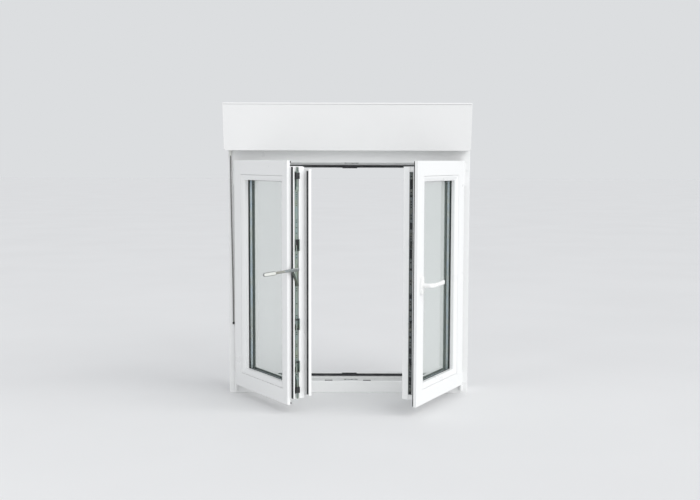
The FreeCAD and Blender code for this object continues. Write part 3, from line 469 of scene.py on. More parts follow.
class CASEMENT_OT_camera(bpy.types.Operator):
    """Set the camera in front of the window, a little above its middle"""
    bl_idname = "casement.camera"
    bl_label = "Camera"

    def execute(self, context):
        data = bpy.data.cameras.new("camera")
        data.lens = CAMERA_LENS
        data.sensor_width = 36
        data.clip_end = 50
        camera = bpy.data.objects.new("camera", data)
        context.scene.collection.objects.link(camera)
        camera.location = CAMERA_PLACE
        camera.rotation_euler = (math.radians(CAMERA_TILT), math.radians(CAMERA_ROLL), 0)
        context.scene.camera = camera
        return {"FINISHED"}


LEAD_ROUTE = [
    (489.4, 993), (489.4, 932), (489.0, 868), (488.2, 804), (487.3, 740), (486.3, 676),
    (485.2, 612), (484.2, 548), (483.3, 484), (482.6, 422), (482.1, 360), (481.8, 300),
]
LEAD_Y, LEAD_RADIUS = -47, 2.5
TIP_PROFILE = [(0, -9.6), (2.6, -9.2), (4.0, -7.6), (4.3, -5), (4.3, -2.4), (3.4, -0.6),
               (2.6, 0.2), (0, 0.2)]
GLAND_COLLAR = [(0, 0), (5.9, 0), (5.9, -2.2), (5.2, -3), (4.9, -7)]
GLAND_RIBS, RIB_START, RIB_PITCH, RIB_WIDTH, RIB_TAPER = 5, -7.8, 2.6, 4.75, 0.22
GLAND_END = -21.9


class CASEMENT_OT_lead(bpy.types.Operator):
    """Hang the motor lead from its gland, with the cap on its end"""
    bl_idname = "casement.lead"
    bl_label = "Motor lead"

    def execute(self, context):
        curve = bpy.data.curves.new("hanging_lead", "CURVE")
        curve.dimensions = "3D"
        curve.bevel_depth = LEAD_RADIUS * MM
        curve.bevel_resolution = 5
        curve.resolution_u = 12
        curve.use_fill_caps = True
        spline = curve.splines.new("NURBS")
        spline.points.add(len(LEAD_ROUTE) - 1)
        for point, (x, z) in zip(spline.points, LEAD_ROUTE):
            point.co = (-x * MM, LEAD_Y * MM, z * MM, 1)
        spline.order_u = 3
        spline.use_endpoint_u = True
        curve.materials.append(FINISHES["lead"])
        lead = added("hanging_lead", curve, "frame")
        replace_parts(lead, "motor_lead")
        bm = bmesh.new()
        tip = Vector((-LEAD_ROUTE[-1][0], LEAD_Y, LEAD_ROUTE[-1][1]))
        join_turned(bm, tip, "z", TIP_PROFILE, 24)
        cap = finished("lead_tip", bm, "lead_end", "frame", angle=50)
        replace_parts(cap, "lead_end_cap")
        bm = bmesh.new()
        top = Vector((-LEAD_ROUTE[0][0], LEAD_Y, FRAME_TOP))
        profile = list(GLAND_COLLAR)
        for i in range(GLAND_RIBS):
            reach, width = RIB_START - i * RIB_PITCH, RIB_WIDTH - i * RIB_TAPER
            profile += [(width, reach), (width, reach - 1.2), (width - 0.7, reach - 1.5),
                        (width - 0.7, reach - 2.2)]
        profile += [(3.3, GLAND_END), (0, GLAND_END)]
        join_turned(bm, top, "z", profile, 24)
        gland = finished("ribbed_gland", bm, "grip", "frame")
        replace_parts(gland, "lead_gland")
        return {"FINISHED"}


class CASEMENT_OT_finishes(bpy.types.Operator):
    """Make the finishes and put them on the window's own pieces"""
    bl_idname = "casement.finishes"
    bl_label = "Finishes"

    def execute(self, context):
        s = settings()
        profile, box = tuple(s.profile_colour), tuple(s.box_colour)
        upright, level = (420, 420, 2), (2, 420, 420)
        FINISHES.update({
            "stile": window_plastic("window_plastic_upright", profile, 0.3, upright),
            "rail": window_plastic("window_plastic_level", profile, 0.3, level),
            "box": window_plastic("shutter_box_panel", box, 0.36, level),
            "gasket": rubber("gasket_rubber", tuple(s.rubber_colour)),
            "zinc": plated_steel("zinc_plated_steel", tuple(s.steel_colour), 0.34),
            "lever": plated_steel("lever_steel", (0.3, 0.315, 0.31), 0.36, (900, 900, 60)),
            # Painted shade: the active faceplate and cam bar get darkened steel to stand for the
            # shade in their deep groove.
            "shaded": plated_steel("painted_shade_steel", (0.13, 0.14, 0.14), 0.5),
            "dark": moulded("dark_moulding", (0.02, 0.02, 0.022), 0.5),
            # Painted shade: the keeper finish darkens the head keeper, not the sill keeper.
            "keeper": keeper_steel_painted_shade(0.5),
            # Black moulding for the pane sealant; it also paints shade in the drain slots.
            "butyl_and_painted_shade": moulded("pane_sealant", (0.004, 0.005, 0.008), 0.6),
            "strip": plated_steel("passivated_steel", (0.26, 0.31, 0.285), 0.4, (900, 900, 60)),
            "blackened": plated_steel("blackened_steel", (0.09, 0.1, 0.09), 0.4),
            "hinge": coated_metal("hinge_coating", (0.85, 0.855, 0.85), 0.32),
            "handle": coated_metal("handle_coating", (0.9, 0.9, 0.885), 0.24),
            "grip": moulded("pale_moulding", (0.74, 0.75, 0.71), 0.36),
            "glass": float_glass("float_glass", tuple(s.glass_colour), s.glass_cover),
            "spacer": plated_steel("spacer_metal", (0.5, 0.56, 0.6), 0.5, (40, 40, 40)),
            "motor": coated_metal("motor_paint", (0.05, 0.05, 0.055), 0.4, 0.3),
            "tube": plated_steel("galvanised_tube", (0.55, 0.56, 0.57), 0.45, (12, 600, 600)),
            "slat": ribbed("slat_skin", (0.74, 0.74, 0.72), 0.006),
            "bar": ribbed("bar_skin", (0.76, 0.76, 0.74), 0.01),
            "brush": pile("brush_pile", (0.07, 0.07, 0.075)),
            "lead": rubber("lead_sheath", tuple(s.lead_colour)),
            "lead_end": moulded("lead_end_moulding", (0.01, 0.01, 0.01), 0.45),
        })
        wanted = {
            "stile": "frame_jambs shutter_guides left_hinge_stile left_lock_stile "
                     "right_hinge_stile right_lock_stile astragal astragal_end_caps "
                     "left_glazing_beads right_glazing_beads",
            "rail": "frame_sill frame_head left_bottom_rail left_top_rail right_bottom_rail "
                    "right_top_rail",
            "box": "box_end_caps box_front box_top box_bottom box_back",
            "gasket": "frame_gasket left_seals right_seals astragal_seal",
            "zinc": "lever_gearbox handle_gearbox handle_spindle hinge_pins",
            "strip": "passive_faceplate shoot_bolt_top shoot_bolt_bottom lock_strikers",
            "lever": "shoot_bolt_lever",
            "blackened": "lever_link",
            # This finish is painted shade on the active faceplate and cam bar.
            "shaded": "active_faceplate cam_bar",
            "keeper": "centre_keepers",
            "dark": "centre_seal_blocks tube_brackets bolt_guides",
            "hinge": "hinge_bearings left_hinge_arms right_hinge_arms",
            "handle": "handle_rosette handle_lever",
            "grip": "lever_grip lead_gland",
            "glass": "left_glass_panes right_glass_panes",
            "spacer": "left_spacer right_spacer",
            "motor": "tubular_motor", "tube": "roller_tube", "slat": "curtain_roll shutter_curtain",
            "bar": "shutter_bottom_bar", "brush": "guide_brushes", "lead": "motor_lead",
            "lead_end": "lead_end_cap",
        }
        for finish, labels in wanted.items():
            for label in labels.split():
                for slot in NODES[label].material_slots:
                    slot.material = FINISHES[finish]
        return {"FINISHED"}


# ---------------------------------------------------------------- welds, gaskets and covers
WELD_GAP, WELD_PROUD, WELD_ROOT = 1.5, 0.12, 0.1
FRAME_WELD, LEAF_WELD = 50, 58
LEAF_WELD_X = {"left": (-460, -12), "right": (-10, 460)}


class CASEMENT_OT_welds(bpy.types.Operator):
    """Lay the fine welded seams across the corners of frame and leaves"""
    bl_idname = "casement.welds"
    bl_label = "Corner welds"

    def execute(self, context):
        half = settings().weld_width / MM / 2

        def seams(bm, x, z, length, y):
            for cx, sx in ((x[0], 1), (x[1], -1)):
                for cz, sz in ((z[0], 1), (z[1], -1)):
                    ends = ((WELD_GAP, 1), (length - 1, 1), (length - 1, -1), (WELD_GAP, -1))
                    outline = [(cz + sz * (reach - turn * sx * half), cx + sx * reach + turn * half)
                               for reach, turn in ends]
                    join_prism(bm, outline, "y", y - WELD_PROUD, y + WELD_ROOT)

        bm = bmesh.new()
        seams(bm, (-HALF_W, HALF_W), (0, FRAME_TOP), FRAME_WELD, FRAME_FACE_Y)
        finished("frame_welds", bm, "rail", "frame")
        on_leaves("leaf_welds", "rail", lambda bm, side: seams(
            bm, LEAF_WELD_X[side], (LEAF_LOW, LEAF_HIGH), LEAF_WELD, FACE))
        return {"FINISHED"}


FRAME_LIP_X, FRAME_LIP_Z, FRAME_LIP_Y = (-435, 435), (65, 950), 13.95
GLASS_LIP_INSET, GLASS_LIP_Y = 80.4, (-32.2, -5.8)


class CASEMENT_OT_gaskets(bpy.types.Operator):
    """Add the rounded lips of the gaskets"""
    bl_idname = "casement.gaskets"
    bl_label = "Gasket lips"

    def execute(self, context):
        def beads(bm, side):
            for y in GLASS_LIP_Y:
                join_ring_bead(bm, *leaf_ring(side, GLASS_LIP_INSET), y, 1.1, 8)

        bm = bmesh.new()
        join_ring_bead(bm, FRAME_LIP_X, FRAME_LIP_Z, FRAME_LIP_Y, 1.5, 10)
        finished("frame_gasket_lip", bm, "gasket", "frame")
        on_leaves("glass_lip", "gasket", beads)
        return {"FINISHED"}


# Sleeves are (outer radius, low, high, rounding); caps are turned profiles.
HINGE_BORE = 6.02
FRAME_SLEEVES = (7.6, 937.4, 969.5, 1.2), (7.4, 14.2, 39.6, 1.0)
LEAF_SLEEVES = (7.6, 872.4, 935.6, 1.2), (7.4, 41.4, 91.6, 1.0)
HINGE_TOP = [(0, 968.3), (6.6, 968.3), (7.2, 969.6), (5.4, 971.4), (0, 972)]
HINGE_FOOT = [(0, 11.2), (5.2, 11.6), (7.0, 13.2), (6.4, 14.2), (0, 14.2)]


class CASEMENT_OT_hinge_covers(bpy.types.Operator):
    """Put the plastic covers over the hinges"""
    bl_idname = "casement.hinge_covers"
    bl_label = "Hinge covers"

    def execute(self, context):
        for side, sign in (("left", -1), ("right", 1)):
            centre = (sign * HINGE_X, HINGE_Y)
            bm = bmesh.new()
            for sleeve, cap in ((FRAME_SLEEVES[0], HINGE_TOP), (FRAME_SLEEVES[1], HINGE_FOOT)):
                join_sleeve(bm, centre, HINGE_BORE, *sleeve)
                join_turned(bm, (*centre, 0), "z", cap, 40)
            finished(f"{side}_frame_hinge_covers", bm, "hinge", "frame")
            bm = bmesh.new()
            for sleeve in LEAF_SLEEVES:
                join_sleeve(bm, centre, HINGE_BORE, *sleeve)
            finished(f"{side}_leaf_hinge_covers", bm, "hinge", f"{side}_sash", side)
        return {"FINISHED"}


# ---------------------------------------------------------------- geometry nodes
def new_tree(name, *inputs):
    """A tree with named inputs of (title, kind, value), and the sockets that give them."""
    tree = bpy.data.node_groups.new(name, "GeometryNodeTree")
    first, last = ("Geometry", "Geometry", None), ("Material", "Material", None)
    for title, kind, value in (first, *inputs, last):
        socket = tree.interface.new_socket(name=title, in_out="INPUT",
                                           socket_type=f"NodeSocket{kind}")
        if value is not None:
            socket.default_value = value
    tree.interface.new_socket(name="Geometry", in_out="OUTPUT", socket_type="NodeSocketGeometry")
    return tree, node(tree, "NodeGroupInput").outputs


def vector(tree, **sides):
    """A vector from some of X, Y and Z."""
    return node(tree, "ShaderNodeCombineXYZ", **sides).outputs[0]


def end_tree(tree, source, points, instance, **turns):
    """Put an instance on each point, make all of them real and give them the material."""
    place = node(tree, "GeometryNodeInstanceOnPoints", Points=points, Instance=instance, **turns)
    real = node(tree, "GeometryNodeRealizeInstances", Geometry=place.outputs["Instances"])
    paint = node(tree, "GeometryNodeSetMaterial", Geometry=real.outputs["Geometry"],
                 Material=source["Material"])
    node(tree, "NodeGroupOutput", Geometry=paint.outputs["Geometry"])
    return tree


def screw_tree():
    """Cross-head screws on every point, each turned to the point's own direction."""
    tree, source = new_tree(
        "cross_head_screws", ("Head radius", "Float", 0.0034), ("Head height", "Float", 0.0012),
        ("Slot width", "Float", 0.0009), ("Seed", "Int", 7))
    radius, height = source["Head radius"], source["Head height"]
    head = node(tree, "GeometryNodeMeshCone", Vertices=16, Radius_Bottom=radius,
                Radius_Top=maths(tree, "MULTIPLY", radius, 0.78), Depth=height)
    length = maths(tree, "MULTIPLY", radius, 1.15)
    bars = node(tree, "GeometryNodeJoinGeometry")
    for along, across in ("XY", "YX"):
        sides = vector(tree, **{along: length, across: source["Slot width"], "Z": height})
        bar = node(tree, "GeometryNodeMeshCube", Size=sides)
        lift = node(tree, "GeometryNodeTransform", Geometry=bar.outputs["Mesh"],
                    Translation=vector(tree, Z=height))
        feed(tree, lift.outputs["Geometry"], bars.inputs["Geometry"])
    cut = node(tree, "GeometryNodeMeshBoolean", operation="DIFFERENCE")
    feed(tree, head.outputs["Mesh"], cut.inputs["Mesh 1"])
    feed(tree, bars.outputs["Geometry"], cut.inputs["Mesh 2"])
    aim = node(tree, "GeometryNodeInputNamedAttribute", data_type="FLOAT_VECTOR", Name="aim")
    align = node(tree, "FunctionNodeAlignRotationToVector", axis="Z",
                 Vector=aim.outputs["Attribute"])
    spin = vector(tree, Z=drawn(tree, source, 0, 1.57))
    turned = node(tree, "FunctionNodeRotateRotation", rotation_space="LOCAL",
                  Rotation=align.outputs["Rotation"], Rotate_By=spin)
    points = node(tree, "GeometryNodeMeshToPoints", Mesh=source["Geometry"])
    return end_tree(tree, source, points.outputs["Points"], cut.outputs["Mesh"],
                    Rotation=turned.outputs["Rotation"])


def drawn(tree, source, low, high):
    """A number drawn at random for each point, by the tree's seed."""
    chance = node(tree, "FunctionNodeRandomValue", data_type="FLOAT", Seed=source["Seed"])
    feed(tree, low, chance.inputs[2])
    feed(tree, high, chance.inputs[3])
    return chance.outputs[1]


def line_tree(name, sides, seed):
    """Small blocks repeated along a straight line at a given spacing."""
    tree, source = new_tree(
        name, ("Spacing", "Float", 0.004), ("Block", "Vector", sides),
        ("Unevenness", "Float", 0.1), ("Seed", "Int", seed))
    curve = node(tree, "GeometryNodeMeshToCurve", Mesh=source["Geometry"])
    points = node(tree, "GeometryNodeCurveToPoints", mode="LENGTH",
                  Curve=curve.outputs["Curve"], Length=source["Spacing"])
    block = node(tree, "GeometryNodeMeshCube", Size=source["Block"])
    size = drawn(tree, source, maths(tree, "SUBTRACT", 1, source["Unevenness"]), 1)
    return end_tree(tree, source, points.outputs["Points"], block.outputs["Mesh"],
                    Scale=vector(tree, X=size, Y=size, Z=size))


def slat_tree():
    """Copies of one shutter slat, one below the other."""
    tree, source = new_tree("shutter_slats", ("Pitch", "Float", 0.0443), ("Count", "Int", 24))
    step = vector(tree, Z=maths(tree, "MULTIPLY", source["Pitch"], -1))
    line = node(tree, "GeometryNodeMeshLine", mode="OFFSET", Count=source["Count"], Offset=step)
    return end_tree(tree, source, line.outputs["Mesh"], source["Geometry"])


def grown(name, source, tree, inputs, finish, body):
    """Run a tree on a source mesh and keep the plain mesh that it makes."""
    carrier = bpy.data.objects.new(f"{name}_source", source)
    bpy.context.scene.collection.objects.link(carrier)
    modifier = carrier.modifiers.new("nodes", "NODES")
    modifier.node_group = tree
    sockets = {item.name: item.identifier for item in tree.interface.items_tree
               if item.item_type == "SOCKET" and item.in_out == "INPUT"}
    for key, value in {**inputs, "Material": FINISHES[finish]}.items():
        modifier[sockets[key]] = value
    bpy.context.view_layer.update()
    result = carrier.evaluated_get(bpy.context.evaluated_depsgraph_get())
    mesh = bpy.data.meshes.new_from_object(result)
    if not mesh.polygons:
        raise RuntimeError(f"{name}: its tree made nothing")
    carrier.modifiers.remove(modifier)
    bpy.data.objects.remove(carrier)
    mesh.name = name
    return added(name, mesh, body)


def aimed_points(name, places, leaf=None):
    """A mesh of loose points, each with the direction that its screw faces."""
    place = LEAF[leaf] if leaf else Matrix.Identity(4)
    mesh = bpy.data.meshes.new(f"{name}_points")
    mesh.from_pydata([place @ (Vector(at) * MM) for at, _ in places], [], [])
    aim = mesh.attributes.new("aim", "FLOAT_VECTOR", "POINT")
    turn = place.to_3x3()
    for item, (_, towards) in zip(aim.data, places):
        item.vector = turn @ Vector(towards)
    return mesh


PLATE_SCREWS = (96, 132, 236, 300, 412, 470, 604, 700, 762, 848, 926)
STRIKERS = (188, 352, 655)
SCREW_HEIGHT, SCREW_SLOT = 0.0011, 0.26


class CASEMENT_OT_screws(bpy.types.Operator):
    """Set the cross-head screws in plates, keepers, hinges, guides and box ends"""
    bl_idname = "casement.screws"
    bl_label = "Screws"

    def execute(self, context):
        tree = screw_tree()
        radius = settings().screw_radius
        right, left, front, back = (1, 0, 0), (-1, 0, 0), (0, -1, 0), (0, 1, 0)
        up, down = (0, 0, 1), (0, 0, -1)
        sets = {
            "right_plate_screws": ("right_sash", "right", "blackened", 1, [
                ((11.9, PLATE_Y, z), left) for z in PLATE_SCREWS]),
            "striker_screws": ("left_sash", "left", "lever", 0.75, [
                ((-1.0, PLATE_Y - 0.5, z + d), right) for z in STRIKERS for d in (-15, 15)]),
            "handle_screws": ("right_sash", "right", "handle", 0.9, [
                ((HANDLE_X, FACE - 10.2, HANDLE_Z + d), front) for d in (-26, 26)]),
            "keeper_screws": ("frame", None, "lever", 1, [
                ((x, PLATE_Y, z), aim) for x in (-14, 14, 32)
                for z, aim in ((52.1, up), (962.9, down))]),
            "hinge_screws": ("frame", None, "hinge", 0.9, [
                ((sign * 489, FRAME_FACE_Y - 2.2, z), front)
                for sign in (-1, 1) for z in (14, 40, 937, 968)]),
            "box_end_screws": ("frame", None, "lever", 1.1, [
                ((x, y, z), aim) for x, aim in ((-505.85, left), (491.85, right))
                for y, z in ((-118, 1035), (-140, 1180), (60, 1035), (60, 1180))]),
            "guide_screws": ("frame", None, "lever", 1.1, [
                ((sign * 474, 83.85, z), back) for sign in (-1, 1) for z in (60, 330, 640, 950)]),
        }
        for name, (body, leaf, finish, scale, places) in sets.items():
            size = radius * scale
            inputs = {"Head radius": size, "Head height": SCREW_HEIGHT,
                      "Slot width": size * SCREW_SLOT, "Seed": 7}
            grown(name, aimed_points(name, places, leaf), tree, inputs, finish, body)
        return {"FINISHED"}


# ---------------------------------------------------------------- handle, lever and meeting edges
NECK, BEND, HANDLE_REACH, HANDLE_SQUARE = 22, 12, 115, 2 / 2.7
ROSETTE_EDGE = (0.0, 0.0), (6.8, 0.0), (9.0, 0.9), (10.0, 2.6)
ROSETTE_COLLAR = [(0, 0.5), (11.2, 0.5), (11.2, -0.2), (10.6, -0.35), (0, -0.35)]


class CASEMENT_OT_handle(bpy.types.Operator):
    """Shape the window handle and its rosette"""
    bl_idname = "casement.handle"
    bl_label = "Handle"

    def execute(self, context):
        x, z, base = HANDLE_X, HANDLE_Z, FACE - 10.4
        right, inward, up = axis_frame("z")
        path = []
        for i in range(6):
            size = 9.4 - 1.4 * math.sin(math.pi * i / 10)
            path.append((Vector((x, base - NECK * i / 5, z)), right, up, size, size))
        for i in range(1, 13):
            angle = math.radians(90 * i / 12)
            c, s = math.cos(angle), math.sin(angle)
            centre = Vector((x + BEND * (1 - c), base - NECK - BEND * s, z))
            across = right * c + inward * s
            path.append((centre, across, up, 8.0 - 1.2 * i / 12, 8.0 + 1.4 * i / 12))
        start = path[-1][0]
        length = x + HANDLE_REACH - start.x - 3
        for i in range(1, 17):
            t = i / 16
            belly = math.sin(math.pi * t)
            centre = start + Vector((length * t, -1.2 * belly, 3.2 * t ** 2.2))
            path.append((centre, inward, up, 6.8 - 0.72 * belly, 9.4 - 1.5 * belly))
        end = path[-1][0]
        for reach, scale in ((1.4, 0.93), (2.4, 0.78), (3.0, 0.5)):
            path.append((end + Vector((reach, 0, 0)), inward, up, 6.8 * scale, 9.4 * scale))
        bm = bmesh.new()
        join_sweep(bm, path, 28, HANDLE_SQUARE, HANDLE_SQUARE)
        handle = finished("shaped_handle", bm, "handle", "handle", "right",
                          angle=60)
        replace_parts(handle, "handle_lever")
        bm = bmesh.new()
        stations = [((x, FACE - depth, z), right, up, 14 - inset, 36 - inset)
                    for depth, inset in ROSETTE_EDGE]
        join_sweep(bm, stations, 48, 0.62, 0.42)
        join_turned(bm, (x, FACE - 10, z), "y", ROSETTE_COLLAR, 40)
        rosette = finished("shaped_rosette", bm, "handle", "right_sash", "right")
        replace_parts(rosette, "handle_rosette")
        return {"FINISHED"}


def capsule(y0, y1, z, tall, steps=10):
    """A long outline with round ends, as (across, height) points."""
    points = []
    for centre, turn in ((y1 - tall, -90), (y0 + tall, 90)):
        for i in range(steps + 1):
            angle = math.radians(turn + 180 * i / steps)
            points.append((centre + tall * math.cos(angle), z + tall * math.sin(angle)))
    return points


# Half of the arm's outline, as (distance in front of the pivot, half height), from its heel out.
ARM_HALF = ((-6.4, 2.6), (-3.6, 6), (0, 7), (28, 6), (60, 5), (142, 4.2))
# Discs on the arm: distance in front of the pivot, steps, turned profile.
ARM_DISCS = (
    (0, 32, [(0, -6.2), (6.4, -6.2), (6.6, -5.8), (6.6, 2.6), (0, 2.6)]),
    (0, 32, [(0, 4.9), (4.6, 4.9), (4.6, 5.6), (3.6, 6.4), (0, 6.6)]),
    (22, 24, [(0, 4.9), (3.2, 4.9), (3.2, 5.3), (2.3, 6.0), (0, 6.1)]),
    (22, 24, [(0, 0.3), (2.4, 0.3), (2.4, 2.7), (0, 2.7)]),
)
# Grip parts: front, back, half height, then (low, high, rounding) of each side.
HANDGRIP = (145.5, 95.5, 5.2, ((4.95, 7.6, 0.6), (1.0, 2.65, 0.6)))
GRIP_RIM = (148, 93, 7.6, ((4.95, 6.9, 0.7), (1.4, 2.65, 0.6)))


class CASEMENT_OT_bolt_lever(bpy.types.Operator):
    """Shape the fold-out lever: steel arm, pivot, rivet and grip"""
    bl_idname = "casement.bolt_lever"
    bl_label = "Bolt lever"

    def execute(self, context):
        pivot = Matrix.Translation(Vector((0, PLATE_Y, LEVER_Z)) * MM)
        droop = pivot @ Matrix.Rotation(math.radians(LEVER_DROOP), 4, "X") @ pivot.inverted()
        z, mid = LEVER_Z, PLATE_Y

        def grip(name, finish, shape):
            ahead, behind, tall, sides = shape
            bm = bmesh.new()
            for low, high, soft in sides:
                join_prism(bm, capsule(mid - ahead, mid - behind, z, tall), "x", low, high, soft, 3)
            return finished(name, bm, finish, "bolt_lever", "left", droop)

        bm = bmesh.new()
        upper = [(mid - ahead, z + half) for ahead, half in ARM_HALF]
        lower = [(mid - ahead, z - half) for ahead, half in reversed(ARM_HALF)]
        join_prism(bm, [*upper, *lower, (mid + 7, z)], "x", 2.6, 5.0, 0.35)
        for ahead, steps, profile in ARM_DISCS:
            join_turned(bm, (0, mid - ahead, z), "x", profile, steps)
        join_prism(bm, capsule(mid - 86, mid - 34, z, 1.7), "x", 4.9, 5.5, 0.2)
        arm = finished("lever_arm", bm, "lever", "bolt_lever", "left", droop)
        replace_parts(arm, "shoot_bolt_lever")
        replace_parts(grip("lever_handgrip", "grip", HANDGRIP), "lever_grip")
        grip("handgrip_rim", "lever", GRIP_RIM)
        return {"FINISHED"}


GUIDE_X, GUIDE_Y = (6.0, 6.9), (-29.2, -12.9)
GUIDE_ENDS = (670.5, 676.5), (633.5, 639.5), (367, 373.5), (330.5, 337), (203, 209.5), (166.5, 173)
# Slots: body, leaf, surface, depth, half height, heights.
EDGE_SLOTS = {
    "top_rod_slots": ("top_bolt", "left", -4.32, 0.12, 1.4, (
        606, 618, 700, 721, 742, 750, 806, 814, 822, 830, 838, 846, 854)),
    "bottom_rod_slots": ("bottom_bolt", "left", -4.32, 0.12, 1.4, (
        148, 156, 222, 230, 266, 274, 312, 320, 384, 430, 480, 488)),
    "active_plate_slots": ("right_sash", "right", 11.86, 0.14, 2.6, (
        112, 160, 168, 232, 274, 284, 324, 384, 430, 440, 508, 520, 590, 680, 690, 756, 770, 800,
        810, 820, 856, 916)),
}
PLATE_PATCHES = (
    (868, 905), (838, 846), (716, 742), (604, 640), (560, 568), (452, 470), (404, 412), (300, 308),
    (240, 262), (204, 222), (120, 150), (84, 96),
)


class CASEMENT_OT_edge_hardware(bpy.types.Operator):
    """Add the dark covers and slots to the hardware on the meeting edges"""
    bl_idname = "casement.edge_hardware"
    bl_label = "Edge hardware"

    def execute(self, context):
        bm = bmesh.new()
        join_box(bm, (5.6, 6.9), GUIDE_Y, (905.5, 929.5), 0.5)
        for z in GUIDE_ENDS:
            join_box(bm, GUIDE_X, GUIDE_Y, z, 0.4)
        for y in ((GUIDE_Y[0], -26.2), (-16.4, GUIDE_Y[1])):
            join_box(bm, GUIDE_X, y, (639.4, 670.6))
        join_box(bm, (-1.2, 0.4), (-25.7, -16.9), (633.5, 676.5))
        join_box(bm, GUIDE_X, (-26, -16), (90, 105), 0.4)
        join_ring_bead(bm, (3.5, 6.2), (936, 947), PLATE_Y, 0.7, 8)
        finished("edge_covers", bm, "dark", "left_sash", "left")
        for name, (body, leaf, x, deep, wide, heights) in EDGE_SLOTS.items():
            bm = bmesh.new()
            if leaf == "right":
                for z in PLATE_PATCHES:
                    join_box(bm, (x, x + deep), (PLATE_Y - 5, PLATE_Y + 5), z)
            for z in heights:
                join_prism(bm, capsule(PLATE_Y - 3.4, PLATE_Y + 3.4, z, wide, 6), "x", x, x + deep)
            finished(name, bm, "butyl_and_painted_shade", body, leaf)
        return {"FINISHED"}


# ---------------------------------------------------------------- box, curtain and brushes
class CASEMENT_OT_box_trim(bpy.types.Operator):
    """Lay the hatch in the floor of the shutter box"""
    bl_idname = "casement.box_trim"
    bl_label = "Box trim"

    def execute(self, context):
        bm = bmesh.new()
        join_box(bm, (-440, 426), (-110, -20), (1014.2, 1015.2), 0.3)
        finished("floor_hatch", bm, "box", "frame")
        return {"FINISHED"}


CURTAIN_TOP, CURTAIN_LOW, CURTAIN_Y = 1.110, 1.010, 0.062
SLAT_HALF_W, SLAT_FRONT, SLAT_BACK = 468.5, 58.8, 65.7


def lowered_height(t):
    """Where a point of the curtain comes to lie when the bar is right down; t runs from 0 to 1."""
    low = JOINTS["shutter_travel"]["range_m"][0]
    return CURTAIN_TOP - (CURTAIN_TOP - CURTAIN_LOW) * t + low * t * t * (3 - 2 * t)


def resting_height(lowered):
    """The raised height of a curtain point from its height with the bar right down."""
    low, high = 0.0, 1.0
    for _ in range(50):
        middle = (low + high) / 2
        if lowered_height(middle) > lowered:
            low = middle
        else:
            high = middle
    return CURTAIN_TOP - (CURTAIN_TOP - CURTAIN_LOW) * low


class CASEMENT_OT_curtain(bpy.types.Operator):
    """Hang the shutter's slats between the roll and the bottom bar"""
    bl_idname = "casement.curtain"
    bl_label = "Shutter curtain"

    def execute(self, context):
        pitch = settings().slat_pitch
        low = CURTAIN_LOW + JOINTS["shutter_travel"]["range_m"][0]
        count = int((CURTAIN_TOP - low) / pitch)
        pitch = (CURTAIN_TOP - low) / count
        tall, front, back = pitch / MM, SLAT_FRONT, SLAT_BACK
        outline = [
            (front + 2.2, -tall + 0.3), (front + 1.0, -tall + 2.2), (front + 0.3, -tall * 0.72),
            (front, -tall * 0.5), (front + 0.3, -tall * 0.28), (front + 1.0, -6.0),
            (front + 2.6, -4.2), (front + 2.6, -0.4), (back - 2.4, -0.4), (back - 2.4, -4.2),
            (back - 0.8, -6.0), (back, -tall * 0.3), (back, -tall * 0.7),
            (back - 0.9, -tall + 2.0), (back - 2.4, -tall + 0.3),
        ]
        bm = bmesh.new()
        join_prism(bm, outline, "x", -SLAT_HALF_W, SLAT_HALF_W)
        bmesh.ops.recalc_face_normals(bm, faces=bm.faces)
        slat = bpy.data.meshes.new("one_slat")
        bm.to_mesh(slat)
        bm.free()
        slat.transform(Matrix.Scale(MM, 4))
        curtain = grown("shutter_slats", slat, slat_tree(), {"Pitch": pitch, "Count": count},
                        "slat", "frame")
        for vert in curtain.data.vertices:
            vert.co.z = resting_height(CURTAIN_TOP + vert.co.z)
        curtain.parent = None
        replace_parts(curtain, "shutter_curtain")
        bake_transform(curtain)
        bm = bmesh.new()
        for sign in (-1, 1):
            join_box(bm, (sign * 380 - 14, sign * 380 + 14), (57.4, 59), (962, 972), 0.7)
        join_box(bm, (-468, 468), (59.5, 65), (958.4, 960.2), 0.5)
        finished("bar_stops", bm, "dark", "shutter_bar")
        return {"FINISHED"}


class CASEMENT_OT_brushes(bpy.types.Operator):
    """Set the tufts of the brush strips in the shutter guides"""
    bl_idname = "casement.brushes"
    bl_label = "Guide brushes"

    def execute(self, context):
        tree = line_tree("brush_tufts", (0.0052, 0.0021, 0.0026), 11)
        rows = [(sign * 0.453, y) for sign in (-1, 1) for y in (0.0571, 0.0681)]
        for number, (x, y) in enumerate(rows):
            mesh = bpy.data.meshes.new("brush_line")
            mesh.from_pydata([(x, y, 0.003), (x, y, 1.006)], [(0, 1)], [])
            inputs = {"Spacing": settings().bristle_gap, "Block": (0.0054, 0.0019, 0.0028),
                      "Unevenness": 0.25, "Seed": 11 + number}
            grown(f"brush_tufts_{number}", mesh, tree, inputs, "brush", "frame")
        return {"FINISHED"}


# ---------------------------------------------------------------- panes and drains
VENT_INSET, VENT_Y = 76.2, -19
SEALANT_OUT, SEALANT_IN, SEALANT_Y = 70.0, 76.7, ((-26.95, -23.9), (-14.1, -11.05))


class CASEMENT_OT_spacer_holes(bpy.types.Operator):
    """Mark the row of small vents along each spacer between the panes"""
    bl_idname = "casement.spacer_holes"
    bl_label = "Spacer vents"

    def execute(self, context):
        tree = line_tree("spacer_vents", (0.0012, 0.0006, 0.0012), 3)
        inputs = {"Spacing": 0.006, "Block": (0.0012,) * 3, "Unevenness": 0.0, "Seed": 3}
        for side in ("left", "right"):
            x, z = leaf_ring(side, VENT_INSET)
            corners = [(x[0], z[0]), (x[1], z[0]), (x[1], z[1]), (x[0], z[1])]
            mesh = bpy.data.meshes.new("vent_line")
            mesh.from_pydata([LEAF[side] @ (Vector((a, VENT_Y, b)) * MM) for a, b in corners],
                             [(0, 1), (1, 2), (2, 3), (3, 0)], [])
            grown(f"{side}_spacer_vents", mesh, tree, inputs, "dark",
                  f"{side}_sash")
        return {"FINISHED"}


